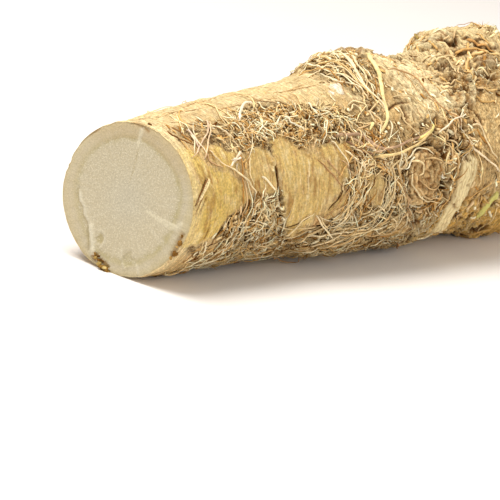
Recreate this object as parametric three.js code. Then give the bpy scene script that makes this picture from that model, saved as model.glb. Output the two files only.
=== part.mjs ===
// A trimmed horseradish root, lying on its side. One piece, as it grew.
//
// Millimetres, +Z up. +X runs along the root, from the knife-cut lower end
// to the knobbly crown where the leaf stalks were cut away. The root rests
// on three small flattened spots: one under the cut end, two under the crown.
// The origin is the centre of the bounding box, at the resting surface.

import * as THREE from "three";

// ---------------------------------------------------------------- dimensions
const CUT_RADIUS = 21.2; // radius of the root at the knife cut
const BODY_LENGTH = 176; // axis length from the cut to where the crown closes
const CROWN_END = 203; // axis length to the tip of the closed crown
const CUT_BEVEL_RUN = 46; // the slant of the cut fades out over this length
const REST_FLAT = 0.8; // depth of the flattened resting spots

const AROUND = 52; // facets round the root
const ALONG = 46; // rings along the body
const CAP = 9; // rings over the crown

// Stations along the axis: distance from the cut, sideways drift of the
// centre (the root bends a little), radius.
const STATIONS = [
  [0, -0.2, CUT_RADIUS],
  [8, 0.1, 21.5],
  [16, 1.0, 21.7],
  [32, 2.0, 22.4],
  [48, 2.5, 23.3],
  [64, 2.3, 25.0],
  [80, 2.9, 26.6],
  [96, 3.5, 27.6],
  [112, 3.6, 27.9],
  [128, 4.5, 27.9],
  [144, 4.5, 28.1],
  [160, 4.6, 28.7],
  [BODY_LENGTH, 4.7, 28.2],
];
const DRIFT_ANGLE = -22.75; // direction of the drift, degrees from the top

// The unit normal of the knife cut, in the root's own frame: t along the
// axis, p up, q sideways. The cut is slanted by about 11 degrees.
const CUT_NORMAL = [-0.98238, 0.06131, 0.17657];

// Swellings and hollows: where along the axis, the angle round it (degrees
// from the top, towards q), half-length along, half-width round, height,
// and the share of that width that is level on top.
const SWELLINGS = {
  collar_ridge: [96, -22, 18, 31, 4.0, 0.25],
  upper_head: [155, -23, 19, 23, 7.0, 0.55],
  lower_head: [158, 158, 21, 17, 2.8, 0.35],
  rear_lower_head: [152, -145, 23, 17, 5.4, 0.35],
  belly_groove: [154, -173, 21, 12, -3.4, 0.2],
  side_head: [128, 84, 13, 13, 1.6, 0.3],
  rear_side_head: [122, -100, 16, 15, 3.5, 0.4],
  top_end_bud: [185, 13, 17, 17, 6.0, 0.45],
  side_end_bud: [188, 105, 17, 16, 4.5, 0.45],
  rear_end_bud: [185, -95, 18, 17, 5.0, 0.45],
  low_end_bud: [190, -170, 12, 12, 2.5, 0.5],
  crown_hollow: [141, 6, 10, 9, -3.0, 0.0],
  front_flat: [-2, 128, 26, 14, -0.9, 0.0],
  front_scar: [34, -120, 9, 9, 1.5, 0.2],
  belly_hollow: [86, -176, 42, 19, -1.5, 0.1],
  belly_scar: [70, -150, 12, 10, 1.5, 0.2],
};

// How the root lies once it has settled on its three resting spots: rows are
// the part's X, Y and Z in the root's own frame (t, p, q).
const LAID = [
  [0.99966, -0.02593, -0.00043],
  [0.0, 0.01675, -0.99986],
  [0.02594, 0.99952, 0.01675],
];

// ------------------------------------------------------------------- helpers
const RAD = Math.PI / 180;
const clamp = (x, lo, hi) => Math.min(hi, Math.max(lo, x));
const dot = (a, b) => a[0] * b[0] + a[1] * b[1] + a[2] * b[2];
const sub = (a, b) => [a[0] - b[0], a[1] - b[1], a[2] - b[2]];
const scaled = (a, k) => [a[0] * k, a[1] * k, a[2] * k];
const cross = (a, b) => [
  a[1] * b[2] - a[2] * b[1],
  a[2] * b[0] - a[0] * b[2],
  a[0] * b[1] - a[1] * b[0],
];
const unit = (a) => scaled(a, 1 / Math.hypot(...a));

// Smooth curve through a column of STATIONS.
function station(x, column) {
  const n = STATIONS.length;
  const xs = STATIONS.map((s) => s[0]);
  const ys = STATIONS.map((s) => s[column]);
  let i = 0;
  while (i < n - 2 && x >= xs[i + 1]) i++;
  const slope = (k) =>
    k === 0
      ? (ys[1] - ys[0]) / (xs[1] - xs[0])
      : k === n - 1
        ? (ys[n - 1] - ys[n - 2]) / (xs[n - 1] - xs[n - 2])
        : (ys[k + 1] - ys[k - 1]) / (xs[k + 1] - xs[k - 1]);
  const h = xs[i + 1] - xs[i];
  const u = (x - xs[i]) / h;
  const u2 = u * u;
  const u3 = u2 * u;
  return (
    (2 * u3 - 3 * u2 + 1) * ys[i] +
    (u3 - 2 * u2 + u) * h * slope(i) +
    (-2 * u3 + 3 * u2) * ys[i + 1] +
    (u3 - u2) * h * slope(i + 1)
  );
}

// The smooth root without its swellings. v is the distance along the axis
// up to BODY_LENGTH, and past it runs 0 to 1 over the closed crown.
function smoothRoot(v, angle) {
  const tb = Math.min(v, BODY_LENGTH);
  const radius = station(tb, 2);
  const drift = station(tb, 1);
  const turn = v <= BODY_LENGTH ? 0 : (clamp(v - BODY_LENGTH, 0, 1) * Math.PI) / 2;
  let t = v <= BODY_LENGTH ? v : BODY_LENGTH + (CROWN_END - BODY_LENGTH) * Math.sin(turn);
  const r = radius * Math.pow(Math.max(Math.cos(turn), 0), 0.85);
  const lumpy =
    0.018 * Math.cos(2 * angle + 0.6 + tb * 0.012) +
    0.012 * Math.cos(3 * angle - 1.1 + tb * 0.02);
  const k = 1 + lumpy * clamp(tb / 30, 0.25, 1);
  const p = drift * Math.cos(DRIFT_ANGLE * RAD) + r * k * Math.cos(angle);
  const q = drift * Math.sin(DRIFT_ANGLE * RAD) + r * k * Math.sin(angle);
  const toCut = -(p * CUT_NORMAL[1] + q * CUT_NORMAL[2]) / CUT_NORMAL[0];
  let f = clamp(1 - tb / CUT_BEVEL_RUN, 0, 1);
  f = f * f * (3 - 2 * f);
  t += toCut * f;
  return [t, p, q];
}

function crownTurn(t) {
  return Math.asin(Math.min(1, (t - BODY_LENGTH) / (CROWN_END - BODY_LENGTH)));
}

const bumps = Object.values(SWELLINGS).map(([t, degrees, along, round, height, level]) => {
  const angle = degrees * RAD;
  const turn = t <= BODY_LENGTH ? 0 : crownTurn(t);
  const centre = smoothRoot(t <= BODY_LENGTH ? t : BODY_LENGTH + turn / (Math.PI / 2), angle);
  const out =
    t <= BODY_LENGTH
      ? [0, Math.cos(angle), Math.sin(angle)]
      : unit([
          Math.sin(turn) * 0.9,
          Math.cos(turn) * Math.cos(angle),
          Math.cos(turn) * Math.sin(angle),
        ]);
  const axial = unit(sub([1, 0, 0], scaled(out, out[0])));
  const side = cross(out, axial);
  return { centre, out, axial, side, along, round, height, level };
});

function rootPoint(v, angle) {
  const base = smoothRoot(v, angle);
  const point = [...base];
  for (const b of bumps) {
    const r = sub(base, b.centre);
    const x = dot(r, b.axial) / b.along;
    const y = dot(r, b.side) / b.round;
    const z = Math.min(0, dot(r, b.out) / Math.max(b.along, b.round));
    const rho = Math.sqrt(x * x + y * y + z * z * 0.6);
    const u = clamp((rho - b.level) / (1 - b.level), 0, 1);
    const g = b.height * (1 - u * u) ** 2;
    for (let k = 0; k < 3; k++) point[k] += g * b.out[k];
  }
  return LAID.map((row) => dot(row, point));
}

// -------------------------------------------------------------------- mesh
const rings = [];
for (let i = 0; i < ALONG; i++) rings.push((BODY_LENGTH * i) / (ALONG - 1));
for (let i = 1; i < CAP; i++) rings.push(BODY_LENGTH + i / CAP);

const points = [];
for (const v of rings)
  for (let j = 0; j < AROUND; j++) points.push(rootPoint(v, (2 * Math.PI * j) / AROUND));

// The cut face is flat: its rim is brought onto one plane, so that the disc
// inside it is a true face.
const normal = LAID.map((row) => dot(row, CUT_NORMAL));
const rimCentre = [0, 1, 2].map(
  (k) => points.slice(0, AROUND).reduce((sum, p) => sum + p[k], 0) / AROUND,
);
for (let j = 0; j < AROUND; j++) {
  const off = dot(sub(points[j], rimCentre), normal);
  points[j] = sub(points[j], scaled(normal, off));
}
const CUT_CENTRE = points.push(rimCentre) - 1;
const CROWN_TIP = points.push(rootPoint(BODY_LENGTH + 1, 0)) - 1;

// Set the root down: the lowest REST_FLAT millimetres are pressed flat.
const lowest = Math.min(...points.map((p) => p[2]));
for (const p of points) p[2] = Math.max(p[2] - lowest - REST_FLAT, 0);

// Origin at the centre of the bounding box, on the resting surface.
for (const k of [0, 1]) {
  const lo = Math.min(...points.map((p) => p[k]));
  const hi = Math.max(...points.map((p) => p[k]));
  for (const p of points) p[k] -= (lo + hi) / 2;
}

const faces = [];
for (let i = 0; i + 1 < rings.length; i++)
  for (let j = 0; j < AROUND; j++) {
    const a = i * AROUND + j;
    const b = i * AROUND + ((j + 1) % AROUND);
    const c = a + AROUND;
    const d = b + AROUND;
    faces.push([a, b, d], [a, d, c]);
  }
const last = (rings.length - 1) * AROUND;
for (let j = 0; j < AROUND; j++) {
  const k = (j + 1) % AROUND;
  faces.push([k, j, CUT_CENTRE], [last + j, last + k, CROWN_TIP]);
}

const geometry = new THREE.BufferGeometry();
geometry.setAttribute("position", new THREE.Float32BufferAttribute(points.flat(), 3));
geometry.setIndex(faces.flat());
geometry.computeVertexNormals();

const skin = new THREE.MeshStandardMaterial({
  name: "root_skin",
  color: new THREE.Color(0.78, 0.62, 0.39),
  roughness: 0.8,
  metalness: 0,
});

const root = new THREE.Mesh(geometry, skin);
root.name = "horseradish_root";

const part = new THREE.Group();
part.name = "horseradish";
part.add(root);

export default part;
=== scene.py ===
# A trimmed horseradish root lying on its side: the visual model.
# Metres, +Z up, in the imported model's frame. Shapes are worked out in
# millimetres in the root's own frame: w runs along the root from the knife
# cut to the crown, th round it from the top towards the near side.
import bpy
import bmesh
import math
import numpy as np
from mathutils import Matrix, Vector


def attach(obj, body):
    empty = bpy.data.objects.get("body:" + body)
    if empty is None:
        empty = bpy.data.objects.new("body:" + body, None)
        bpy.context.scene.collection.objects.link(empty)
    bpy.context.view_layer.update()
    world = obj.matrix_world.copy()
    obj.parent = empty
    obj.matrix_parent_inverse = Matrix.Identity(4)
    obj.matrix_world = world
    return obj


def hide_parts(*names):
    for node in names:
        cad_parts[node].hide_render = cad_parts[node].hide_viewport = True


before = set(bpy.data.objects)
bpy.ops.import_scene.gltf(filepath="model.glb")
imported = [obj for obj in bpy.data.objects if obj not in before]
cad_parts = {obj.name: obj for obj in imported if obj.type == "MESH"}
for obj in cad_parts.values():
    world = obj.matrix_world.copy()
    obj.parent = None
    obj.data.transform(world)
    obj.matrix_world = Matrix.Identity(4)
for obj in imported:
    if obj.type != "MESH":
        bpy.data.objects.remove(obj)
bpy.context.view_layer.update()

# ---------------------------------------------------------------- root shape
STATIONS = np.array([
    [0, -0.2, 21.2], [8, 0.1, 21.5], [16, 1.0, 21.7], [32, 2.0, 22.4], [48, 2.5, 23.3],
    [64, 2.3, 25.0], [80, 2.9, 26.6], [96, 3.5, 27.6], [112, 3.6, 27.9], [128, 4.5, 27.9],
    [144, 4.5, 28.1], [160, 4.6, 28.7], [176, 4.7, 28.2]])
BODY, TIP, CAP_ARC = 176.0, 203.0, 36.0
DRIFT = math.radians(-22.75)
CUT_NORMAL = np.array([-0.98238, 0.06131, 0.17657])
SWELLINGS = [  # w, degrees, half-length, half-width, height, level share
    (96, -22, 18, 31, 4.0, 0.25), (155, -23, 19, 23, 7.0, 0.55), (158, 158, 21, 17, 2.8, 0.35),
    (152, -145, 23, 17, 5.4, 0.35), (154, -173, 21, 12, -3.4, 0.2), (128, 84, 13, 13, 1.6, 0.3),
    (122, -100, 16, 15, 3.5, 0.4), (185, 13, 17, 17, 6.0, 0.45), (188, 105, 17, 16, 4.5, 0.45),
    (185, -95, 18, 17, 5.0, 0.45), (190, -170, 12, 12, 2.5, 0.5), (141, 6, 10, 9, -3.0, 0.0),
    (-2, 128, 26, 14, -0.9, 0.0), (34, -120, 9, 9, 1.5, 0.2), (86, -176, 42, 19, -1.5, 0.1),
    (70, -150, 12, 10, 1.5, 0.2)]
LAID = np.array([[0.99966, -0.02593, -0.00043], [0.0, 0.01675, -0.99986], [0.02594, 0.99952, 0.01675]])
SETTLE = np.array([-99.4841, -2.2996, 21.1575])  # mm, from the laid root to the row frame


def curve(x, xs, ys):
    n = len(xs)
    m = np.empty(n)
    m[1:-1] = (ys[2:] - ys[:-2]) / (xs[2:] - xs[:-2])
    m[0] = (ys[1] - ys[0]) / (xs[1] - xs[0])
    m[-1] = (ys[-1] - ys[-2]) / (xs[-1] - xs[-2])
    i = np.clip(np.searchsorted(xs, x, side="right") - 1, 0, n - 2)
    h = xs[i + 1] - xs[i]
    u = (x - xs[i]) / h
    u2, u3 = u * u, u * u * u
    return ((2 * u3 - 3 * u2 + 1) * ys[i] + (u3 - 2 * u2 + u) * h * m[i]
            + (-2 * u3 + 3 * u2) * ys[i + 1] + (u3 - u2) * h * m[i + 1])


def smooth_root(w, th):
    w, th = np.broadcast_arrays(np.asarray(w, float), np.asarray(th, float))
    body = w <= BODY
    tb = np.minimum(w, BODY)
    r = curve(tb, STATIONS[:, 0], STATIONS[:, 2])
    s = curve(tb, STATIONS[:, 0], STATIONS[:, 1])
    turn = np.where(body, 0, np.clip((w - BODY) / CAP_ARC, 0, 1) * np.pi / 2)
    t = np.where(body, w, BODY + (TIP - BODY) * np.sin(turn))
    rr = r * np.maximum(np.cos(turn), 0) ** 0.85
    lumpy = 0.018 * np.cos(2 * th + 0.6 + tb * 0.012) + 0.012 * np.cos(3 * th - 1.1 + tb * 0.02)
    k = 1 + lumpy * np.clip(tb / 30, 0.25, 1)
    p = s * math.cos(DRIFT) + rr * k * np.cos(th)
    q = s * math.sin(DRIFT) + rr * k * np.sin(th)
    to_cut = -(p * CUT_NORMAL[1] + q * CUT_NORMAL[2]) / CUT_NORMAL[0]
    f = np.clip(1 - tb / 46.0, 0, 1)
    f = f * f * (3 - 2 * f)
    return np.stack([t + to_cut * f, p, q], -1)


def crown_turn(t):
    return math.asin(min(1.0, (t - BODY) / (TIP - BODY)))


def root_point(w, th):
    base = smooth_root(w, th)
    out_pt = base.copy()
    for (t, deg, along, rnd, height, level) in SWELLINGS:
        a = math.radians(deg)
        turn = 0.0 if t <= BODY else crown_turn(t)
        c = smooth_root(t if t <= BODY else BODY + CAP_ARC * turn / (np.pi / 2), a)
        if t <= BODY:
            o = np.array([0.0, math.cos(a), math.sin(a)])
        else:
            o = np.array([math.sin(turn) * 0.9, math.cos(turn) * math.cos(a), math.cos(turn) * math.sin(a)])
            o /= np.linalg.norm(o)
        ax = np.array([1.0, 0, 0]) - o * o[0]
        ax /= np.linalg.norm(ax)
        sd = np.cross(o, ax)
        r = base - c
        x, y = (r @ ax) / along, (r @ sd) / rnd
        z = np.minimum((r @ o) / max(along, rnd), 0)
        rho = np.sqrt(x * x + y * y + z * z * 0.6)
        u = np.clip((rho - level) / (1 - level), 0, 1)
        out_pt += (height * (1 - u * u) ** 2)[..., None] * o
    return out_pt


def to_row(p):
    """mm in the root's frame to metres in the row frame, pressed a little where it rests"""
    r = p @ LAID.T + SETTLE
    z = np.maximum(r[..., 2], -0.9)
    r[..., 2] = np.where(z < 8, np.maximum(z + 0.5 * np.exp(-(z + 0.5) / 0.9), 0.0), z)
    return r * 0.001


# --------------------------------------------------------------------- noise
_nr = np.random.default_rng(11)
_perm = _nr.permutation(256)
_grad = _nr.normal(size=(256, 3))
_grad /= np.linalg.norm(_grad, axis=1, keepdims=True)


def gnoise(p, seed=0):
    """gradient noise, about -1 to 1; p is (..., 3)"""
    p = p + seed * np.array([37.13, 71.7, 19.9])
    i = np.floor(p).astype(int)
    f = p - i
    u = f * f * f * (f * (f * 6 - 15) + 10)
    out = 0
    for dx in (0, 1):
        hx = _perm[(i[..., 0] + dx) & 255]
        wx = u[..., 0] if dx else 1 - u[..., 0]
        for dy in (0, 1):
            hy = _perm[(hx + i[..., 1] + dy) & 255]
            wy = u[..., 1] if dy else 1 - u[..., 1]
            for dz in (0, 1):
                g = _grad[_perm[(hy + i[..., 2] + dz) & 255]]
                wz = u[..., 2] if dz else 1 - u[..., 2]
                d = g[..., 0] * (f[..., 0] - dx) + g[..., 1] * (f[..., 1] - dy) + g[..., 2] * (f[..., 2] - dz)
                out = out + wx * wy * wz * d
    return out * 1.6


def fbm(p, octaves=3, seed=0, gain=0.5):
    a, s, tot = 1.0, 0, 0.0
    for o in range(octaves):
        s = s + a * gnoise(p * 2.03 ** o, seed + o * 3)
        tot += a
        a *= gain
    return s / tot ** 0.7


def ridged(p, octaves=2, seed=0, gain=0.5):
    a, s, tot = 1.0, 0, 0.0
    for o in range(octaves):
        s = s + a * (1 - 2.2 * np.abs(gnoise(p * 2.07 ** o, seed + o * 3)))
        tot += a
        a *= gain
    return s / tot


def step(x, lo, hi):
    u = np.clip((x - lo) / (hi - lo), 0, 1)
    return u * u * (3 - 2 * u)


# ----------------------------------------------- features, in (w mm, degrees)
PLATES = {  # smooth patches of skin: outline, how yellow
    "A": ([(-3, 33), (5.1, 36.6), (7.0, 46.8), (11.2, 56.7), (17.2, 61.5), (20.8, 73.2), (23.5, 82.2), (19.2, 87.3), (15.7, 92.4), (13.5, 101.4), (9.2, 106.5), (5.7, 109.8), (3.5, 111.9), (-3, 114)], 1.0),
    "B": ([(9.0, 39.6), (15.3, 39.3), (20.4, 48.3), (21.7, 55.2), (19.6, 60.9), (14.5, 57.9), (10.6, 52.5)], 0.75),
    "C": ([(24.9, 48.6), (30.3, 46.8), (34.1, 49.8), (37.0, 59.1), (37.2, 78.9), (37.4, 86.1), (33.3, 82.8), (29.8, 80.1), (25.3, 75.6), (23.3, 63.3)], 0.35),
    "D": ([(36.8, 42.0), (41.7, 41.4), (45.0, 45.0), (47.0, 53.4), (49.9, 57.3), (54.2, 59.7), (57.4, 71.7), (60.5, 80.1), (61.7, 84.3), (58.5, 91.5), (55.2, 99.9), (51.9, 108.9), (49.5, 117.3), (46.4, 121.8), (42.3, 110.4), (39.5, 94.2), (38.2, 79.2), (37.4, 63.0)], 0.4),
    "E": ([(53.8, 56.7), (57.8, 51.9), (62.6, 51.6), (67.2, 55.2), (66.8, 66.9), (65.2, 78.6), (63.2, 82.8), (59.7, 76.2), (57.2, 67.5), (55.0, 60.0)], 0.35),
    "F": ([(61.7, 84.3), (64.4, 91.5), (62.3, 99.6), (58.5, 105.3), (56.4, 102.0), (58.7, 93.6)], 0.3),
    "bump": ([(72.2, 78.9), (76.4, 77.4), (79.7, 82.2), (80.5, 90.0), (80.3, 98.4), (77.5, 102.0), (73.4, 96.9), (71.3, 87.9)], 0.15),
}
CRACKS = [  # polyline, width mm, depth mm
    ([(37.0, 61.5), (37.0, 66.6), (37.2, 78.9), (38.6, 92.4)], 0.5, 1.1),
    ([(62.8, 82.5), (61.7, 84.3)], 0.35, 0.5),
    ([(79.3, 78.3), (80.5, 84.3), (81.1, 91.5), (81.1, 98.7)], 1.1, 1.5),
    ([(6.9, 58.5), (4.5, 64.8), (1.8, 74.1), (0.0, 82.2)], 0.35, 0.45),
    ([(5.3, 71.7), (3.7, 78.3), (2.0, 85.8)], 0.3, 0.35),
    ([(42.7, -8.1), (44.0, 8.1), (51.7, 16.8)], 0.32, 0.25),
    ([(62.8, 83.4), (60.9, 91.2), (57.6, 99.9)], 0.3, 0.45),
    ([(8.2, 92.7), (7.4, 100.5), (7.4, 107.7)], 0.35, 0.4),
    ([(13.9, 100.8), (13.1, 108.9), (12.7, 116.4)], 0.45, 0.6),
    ([(102.8, 94.8), (105.9, 94.2), (107.3, 90.0)], 0.9, 1.5),
    ([(89.9, 103.5), (94.2, 105.9), (96.9, 105.9)], 0.8, 1.6),
    ([(94.4, 115.2), (98.3, 117.0), (102.0, 117.9)], 0.8, 1.3),
    ([(20.4, -11.4), (30.9, -16.5), (38.6, -10.2)], 0.3, 0.22),
    ([(25.3, 17.4), (37.8, 10.8), (46.8, 12.6)], 0.3, 0.22),
    ([(5.5, -5.4), (15.1, -4.2), (25.1, 1.2)], 0.3, 0.22),
    ([(85.6, 39.9), (91.8, 37.2), (97.5, 38.4)], 0.4, 0.7),
    ([(135.5, 21.0), (139.2, 23.7), (145.1, 24.3)], 0.6, 1.0),
    ([(142.5, 145.8), (147.0, 146.7), (149.2, 142.8)], 1.2, 1.4),
    ([(144.3, 5.4), (143.3, 8.1), (141.5, 14.7)], 0.5, 0.9),
    ([(140.2, -15.3), (141.9, -7.8), (144.1, -1.8)], 0.5, 0.8),
    ([(141.5, -3.6), (143.9, 2.7), (146.4, 6.9)], 0.5, 0.8),
    ([(147.8, 6.9), (149.8, 11.7), (154.5, 13.5)], 0.5, 0.8),
    ([(146.2, -2.1), (148.8, 4.8), (153.5, 7.8)], 0.5, 0.8),
    ([(125.3, 49.5), (126.9, 56.7), (125.9, 64.2)], 0.5, 0.8),
    ([(65.2, 102.9), (67.0, 96.9), (68.7, 91.2)], 0.5, 0.9),
]
RIDGES = [  # polyline, half-width mm, height mm, colour key
    ([(35.2, 36.6), (35.0, 45.6), (34.8, 55.5), (36.4, 64.2)], 0.9, 0.9, "amber"),
    ([(50.1, 61.8), (49.7, 70.2), (49.1, 78.6), (48.7, 96.3)], 0.3, 0.2, "pale"),
    ([(137.2, 105.6), (134.7, 113.7), (135.1, 126.6)], 1.8, 0.7, "green"),
    ([(144.9, -10.2), (141.3, -12.6), (139.0, -18.6), (137.8, -27.0)], 2.0, 1.0, "pale"),
    ([(126.3, 27.9), (123.3, 38.1), (120.8, 46.5)], 1.0, 1.0, "pale"),
    ([(131.2, 27.3), (129.2, 36.6), (125.3, 46.5)], 1.3, 1.2, "pale"),
    ([(129.2, 29.4), (135.5, 21.0), (149.0, 16.5)], 1.0, 1.1, "pale"),
    ([(117.5, 73.8), (116.9, 84.3), (116.5, 95.4), (115.5, 106.8), (115.1, 118.8), (118.8, 136.5)], 3.9, 1.3, "straw"),
    ([(115.1, -12.3), (128.2, -22.5), (138.6, -26.4), (140.2, -18.6), (144.1, -11.4)], 1.8, 0.8, "pale"),
    ([(7.0, 60.0), (4.3, 67.8), (1.4, 76.8)], 0.35, 0.5, "pale"),
    ([(74.4, 9.6), (74.6, 15.0)], 1.7, 0.4, "chalk"),
    ([(76.5, 9.0), (74.2, 19.8)], 1.3, 0.35, "chalk"),
    ([(70.9, 14.4), (71.8, 18.3)], 0.9, 0.3, "chalk"),
    ([(63.6, 16.5), (64.8, 20.1)], 1.5, 0.7, "pale"),
    ([(63.4, 49.2), (69.3, 49.8), (72.4, 54.6)], 0.9, 0.6, "grey"),
    ([(144.7, 11.7), (146.6, 14.7), (149.2, 17.1)], 1.8, 1.3, "bud"),
    ([(35.2, 63.0), (35.2, 67.5)], 0.6, 0.6, "pale"),
    ([(62.5, 78.0), (64.0, 82.2)], 0.9, 0.7, "grey"),
    ([(92.4, -24.3), (96.1, -22.5), (92.6, -10.2)], 0.9, 0.6, "bark"),
    ([(93.0, -6.0), (96.7, -7.5), (96.7, -2.7)], 0.9, 0.7, "bark"),
    ([(99.1, 24.3), (101.8, 30.9), (105.1, 36.3)], 0.7, 0.5, "pale"),
]
PITS = [  # w, degrees, radius along, radius round, depth
    (109.8, 63.3, 1.6, 1.8, 1.8),
    (113.2, 70.8, 1.5, 2.4, 1.8),
    (105.7, 72.6, 1.7, 1.2, 1.2),
    (106.1, 91.8, 1.3, 2.6, 1.6),
    (97.9, 117.0, 2.0, 1.2, 1.4),
    (128.2, 12.3, 2.8, 3.0, 3.0),
    (143.3, 26.7, 2.2, 1.8, 1.8),
    (123.7, 45.3, 1.5, 2.2, 1.2),
    (76.0, 67.2, 1.3, 1.8, 1.7),
    (31.5, 90.3, 1.2, 2.0, 1.6),
    (30.5, 94.5, 1.1, 1.4, 1.4),
    (37.4, 96.6, 1.1, 1.7, 1.3),
    (147.0, 142.5, 2.0, 1.4, 1.0),
    (57.0, 41.1, 1.2, 1.0, 0.9),
    (4.1, 26.4, 1.0, 0.7, 0.3),
    (86.9, 82.8, 1.1, 2.2, 1.0),
    (92.4, 48.3, 1.6, 1.6, 1.0),
    (81.4, 36.6, 1.6, 1.9, 1.4),
    (76.2, 68.4, 1.2, 1.6, 1.7),
    (95.5, 68.1, 1.8, 1.0, 1.4),
    (93.0, 45.0, 1.5, 1.7, 1.5),
    (106.5, 94.8, 1.2, 1.8, 1.4),
    (124.1, 13.2, 1.7, 1.8, 2.2),
    (115.9, 19.2, 1.2, 1.2, 0.9),
    (92.6, 105.6, 1.6, 1.0, 1.4),
    (141.3, 26.4, 1.5, 1.6, 1.6),
    (65.4, 73.2, 0.8, 1.6, 1.0),
    (59.1, 50.7, 1.0, 0.9, 1.0),
    (51.7, 36.9, 0.8, 0.8, 0.9),
    (37.6, 31.5, 0.8, 1.0, 1.0),
    (45.2, 40.5, 0.8, 0.8, 0.9),
    (31.3, 33.0, 0.7, 0.9, 0.8),
    (114.9, 72.6, 0.8, 1.4, 1.2),
    (144.1, -4.5, 1.2, 0.8, 1.0),
    (148.8, 6.9, 1.4, 0.9, 1.0),
    (18.2, 102.9, 0.9, 1.3, 1.0),
    (27.2, 115.2, 0.9, 1.2, 1.0),
]
HAIRY = [  # patches of rootlets: outline, how dense
    ([(32.3, 15.0), (43.9, 13.5), (56.2, 22.2), (68.3, 28.8), (72.4, 35.1), (71.1, 46.2), (65.2, 56.7), (56.8, 53.7), (48.2, 53.7), (41.9, 49.5), (36.2, 55.2), (30.9, 61.5), (26.8, 52.5), (22.7, 46.2), (20.8, 36.9)], 1.0),
    ([(9.2, 13.2), (18.2, 16.8), (30.3, 19.8), (23.1, 44.7), (17.4, 43.8), (11.9, 33.3), (7.4, 28.2), (5.3, 22.8)], 0.42),
    ([(27.0, 82.2), (38.6, 82.8), (41.1, 96.9), (50.5, 131.7), (47.6, 141.0), (36.0, 120.3), (30.0, 102.6)], 1.25),
    ([(13.1, 89.4), (20.2, 88.2), (27.4, 88.2), (32.5, 106.8), (38.4, 127.8), (37.6, 143.1), (30.0, 143.1), (21.1, 133.8), (14.7, 110.1)], 0.85),
    ([(47.0, 123.9), (51.1, 118.5), (57.6, 110.1), (65.2, 102.9), (77.3, 108.3), (89.7, 119.7), (102.0, 139.2), (91.6, 144.3), (75.8, 149.1), (64.4, 152.7), (58.3, 156.0)], 1.0),
    ([(64.8, 59.4), (74.0, 60.0), (79.9, 69.6), (84.8, 79.8), (87.3, 94.8), (87.7, 108.6), (82.4, 114.3), (69.3, 109.5), (64.2, 104.4), (65.8, 93.3), (62.8, 83.4), (65.0, 73.2)], 0.95),
    ([(85.2, 71.1), (94.9, 68.7), (108.3, 77.1), (111.2, 90.3), (112.4, 103.5), (110.2, 114.3), (99.5, 117.3), (88.5, 108.0), (87.3, 94.8)], 0.55),
    ([(72.6, 34.5), (80.1, 27.9), (84.2, 36.3), (87.1, 46.5), (93.0, 55.2), (95.5, 65.7), (86.5, 66.3), (78.3, 63.9), (71.7, 59.1), (70.7, 47.4)], 0.34),
    ([(87.5, -39.6), (91.8, -24.3), (93.8, -12.9), (95.5, 0.3), (94.0, 15.9), (90.1, 27.9), (82.8, 32.4), (79.1, 23.7), (77.5, 9.6), (73.8, -0.6)], 0.6),
    ([(108.5, 45.9), (117.7, 48.3), (122.7, 59.1), (124.9, 69.0), (131.8, 92.1), (135.1, 99.9), (121.6, 86.4), (114.1, 78.6), (106.3, 70.8)], 0.45),
    ([(23.7, 54.3), (33.3, 63.9), (36.0, 77.7), (29.8, 81.6), (25.3, 77.1)], 0.35),
    ([(2.5, 112.5), (8.2, 110.7), (21.9, 142.8), (17.0, 147.6)], 0.5),
]
DEG = 0.436  # mm of arc for one degree, at the middle radius


def polyline_distance(w, s, pts):
    """distance in mm to a polyline given in (w, degrees), and how far along it (0 to 1)"""
    best = np.full(w.shape, 1e9)
    at = np.zeros(w.shape)
    P = [(a, b * DEG) for a, b in pts]
    total = sum(math.dist(P[i], P[i + 1]) for i in range(len(P) - 1))
    run = 0.0
    for (x0, y0), (x1, y1) in zip(P[:-1], P[1:]):
        dx, dy = x1 - x0, y1 - y0
        L = math.hypot(dx, dy)
        u = np.clip(((w - x0) * dx + (s - y0) * dy) / (L * L), 0, 1)
        d = np.hypot(w - x0 - u * dx, s - y0 - u * dy)
        m = d < best
        best = np.where(m, d, best)
        at = np.where(m, (run + u * L) / total, at)
        run += L
    return best, at


def polygon_signed(w, s, pts):
    """signed distance in mm to a closed outline, positive inside"""
    P = [(a, b * DEG) for a, b in pts]
    d, _ = polyline_distance(w, s, pts + [pts[0]])
    inside = np.zeros(w.shape, bool)
    for (x0, y0), (x1, y1) in zip(P, P[1:] + P[:1]):
        c = ((y0 > s) != (y1 > s)) & (w < (x1 - x0) * (s - y0) / (y1 - y0 + 1e-12) + x0)
        inside ^= c
    return np.where(inside, d, -d)


# -------------------------------------------------------- the surface's relief
COLS = 440
rows_w = np.concatenate([np.linspace(0, 165, 394), np.linspace(165, 210.6, 46)[1:]])
NR = len(rows_w)
th_u = np.arange(COLS + 1) * (2 * np.pi / COLS)
th_wrap = th_u - 0.3 * (np.sin(th_u - math.radians(62)) + math.sin(math.radians(62)))  # closer together on the near side
th_cols = th_wrap[:-1]
ROW_MM, COL_MM = 0.42, 0.36
W, TH = np.meshgrid(rows_w, th_cols, indexing="ij")
DEGS = (np.degrees(TH) + 180) % 360 - 180
S = DEGS * DEG
P0 = root_point(W, TH)


def grid_normals(P):
    dv = np.gradient(P, axis=0)
    du = np.roll(P, -1, 1) - np.roll(P, 1, 1)
    n = np.cross(dv, du)
    n /= np.linalg.norm(n, axis=-1, keepdims=True) + 1e-12
    c = P.mean(1, keepdims=True)
    if ((P - c) * n).sum(-1)[: NR // 2].mean() < 0:
        n = -n
    return n


N0 = grid_normals(P0)
C3, S3 = np.cos(TH), np.sin(TH)


def around(fw, fr, wobble=0.0, seed=0):
    """noise coordinates with high frequency along the root and low frequency round it"""
    ww = W + (wobble * gnoise(P0 / 11.0, seed + 50) if wobble else 0)
    return np.stack([ww * fw, C3 * fr, S3 * fr], -1)


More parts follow.
